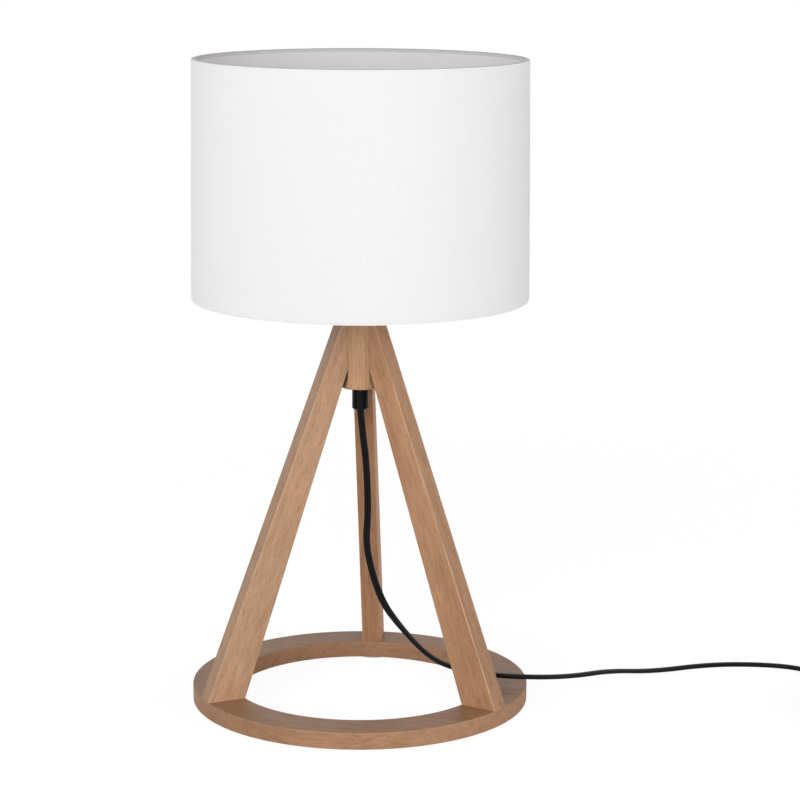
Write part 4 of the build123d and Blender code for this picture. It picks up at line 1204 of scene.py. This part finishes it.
def soft_light(name, place, power):
    """A square studio light turned towards the lamp."""
    lamp = bpy.data.lights.new(name, "AREA")
    lamp.shape = "SQUARE"
    lamp.size = LIGHT_SIZE
    lamp.energy = power
    holder = bpy.data.objects.new(name, lamp)
    holder.location = place
    holder.rotation_euler = (Vector(LIGHT_AIM) - Vector(place)).to_track_quat("-Z", "Y").to_euler()
    holder.visible_camera = False
    bpy.context.scene.collection.objects.link(holder)


class LAMP_OT_stage(Operator):
    """The pale floor, the studio lights, the background and the camera"""

    bl_idname = "lamp.stage"
    bl_label = "Stage"

    def execute(self, context):
        scene = context.scene
        scene.view_settings.view_transform = "Standard"
        half = FLOOR_HALF
        floor = bpy.data.meshes.new("floor")
        corners = [(-half, -half, 0), (half, -half, 0), (half, half, 0), (-half, half, 0)]
        floor.from_pydata(corners, [], [(0, 1, 2, 3)])
        floor.materials.append(backdrop_finish("pale_floor"))
        ground = bpy.data.objects.new("floor", floor)
        scene.collection.objects.link(ground)

        world = bpy.data.worlds.new("studio")
        world.use_nodes = True
        scene.world = world
        tree = world.node_tree
        tree.nodes.clear()
        upward = add(tree, "ShaderNodeSeparateXYZ", {0: add(tree, "ShaderNodeTexCoord").outputs["Generated"]})
        horizon = spread(tree, upward.outputs["Z"], (0.0, 1.0), (HORIZON_LIGHT, 0.0))
        level = reckon(tree, "MAXIMUM", seen_directly(tree), horizon)
        sky = add(tree, "ShaderNodeBackground", {"Color": (1.0, 1.0, 1.0, 1.0), "Strength": level})
        add(tree, "ShaderNodeOutputWorld", {"Surface": sky.outputs[0]})

        for light in STUDIO_LIGHTS:
            soft_light(*light)

        lens = bpy.data.cameras.new("camera")
        lens.sensor_width = SENSOR
        lens.lens = LENS
        holder = bpy.data.objects.new("camera", lens)
        holder.location = CAMERA_AT
        turn = Matrix.Rotation(CAMERA_TURN - CAMERA_YAW, 3, "Z")
        tilt = Matrix.Rotation(math.pi / 2 - CAMERA_PITCH, 3, "X")
        holder.rotation_euler = (turn @ tilt @ Matrix.Rotation(CAMERA_ROLL, 3, "Z")).to_euler()
        scene.collection.objects.link(holder)
        scene.camera = holder
        return {"FINISHED"}


PIECE_OPERATORS = (LAMP_OT_stage, LAMP_OT_flex, LAMP_OT_base_ring, LAMP_OT_legs, LAMP_OT_hub, LAMP_OT_shade,
                   LAMP_OT_lampholder, LAMP_OT_metal, LAMP_OT_switch_and_plug)


class LAMP_PT_pieces(Panel):
    """Lists the lamp's sizes, colours and pieces"""

    bl_idname = "LAMP_PT_pieces"
    bl_label = "Bedside lamp"
    bl_space_type = "VIEW_3D"
    bl_region_type = "UI"
    bl_category = "Lamp"

    def draw(self, context):
        layout = self.layout
        for group in (context.scene.lamp_sizes, context.scene.lamp_colours):
            for name in group.__annotations__:
                layout.prop(group, name)
        for kind in PIECE_OPERATORS:
            layout.operator(kind.bl_idname)


CLASSES = (LampSizes, LampColours, *PIECE_OPERATORS, LAMP_PT_pieces)


def register():
    for kind in CLASSES:
        bpy.utils.register_class(kind)
    bpy.types.Scene.lamp_sizes = PointerProperty(type=LampSizes)
    bpy.types.Scene.lamp_colours = PointerProperty(type=LampColours)


def unregister():
    del bpy.types.Scene.lamp_colours
    del bpy.types.Scene.lamp_sizes
    for kind in reversed(CLASSES):
        bpy.utils.unregister_class(kind)


def main():
    register()
    bpy.ops.lamp.stage()
    bpy.ops.lamp.flex()
    bpy.ops.lamp.base_ring()
    bpy.ops.lamp.legs()
    bpy.ops.lamp.hub()
    bpy.ops.lamp.shade()
    bpy.ops.lamp.lampholder()
    bpy.ops.lamp.metal()
    bpy.ops.lamp.switch_and_plug()


if __name__ == "__main__":
    main()
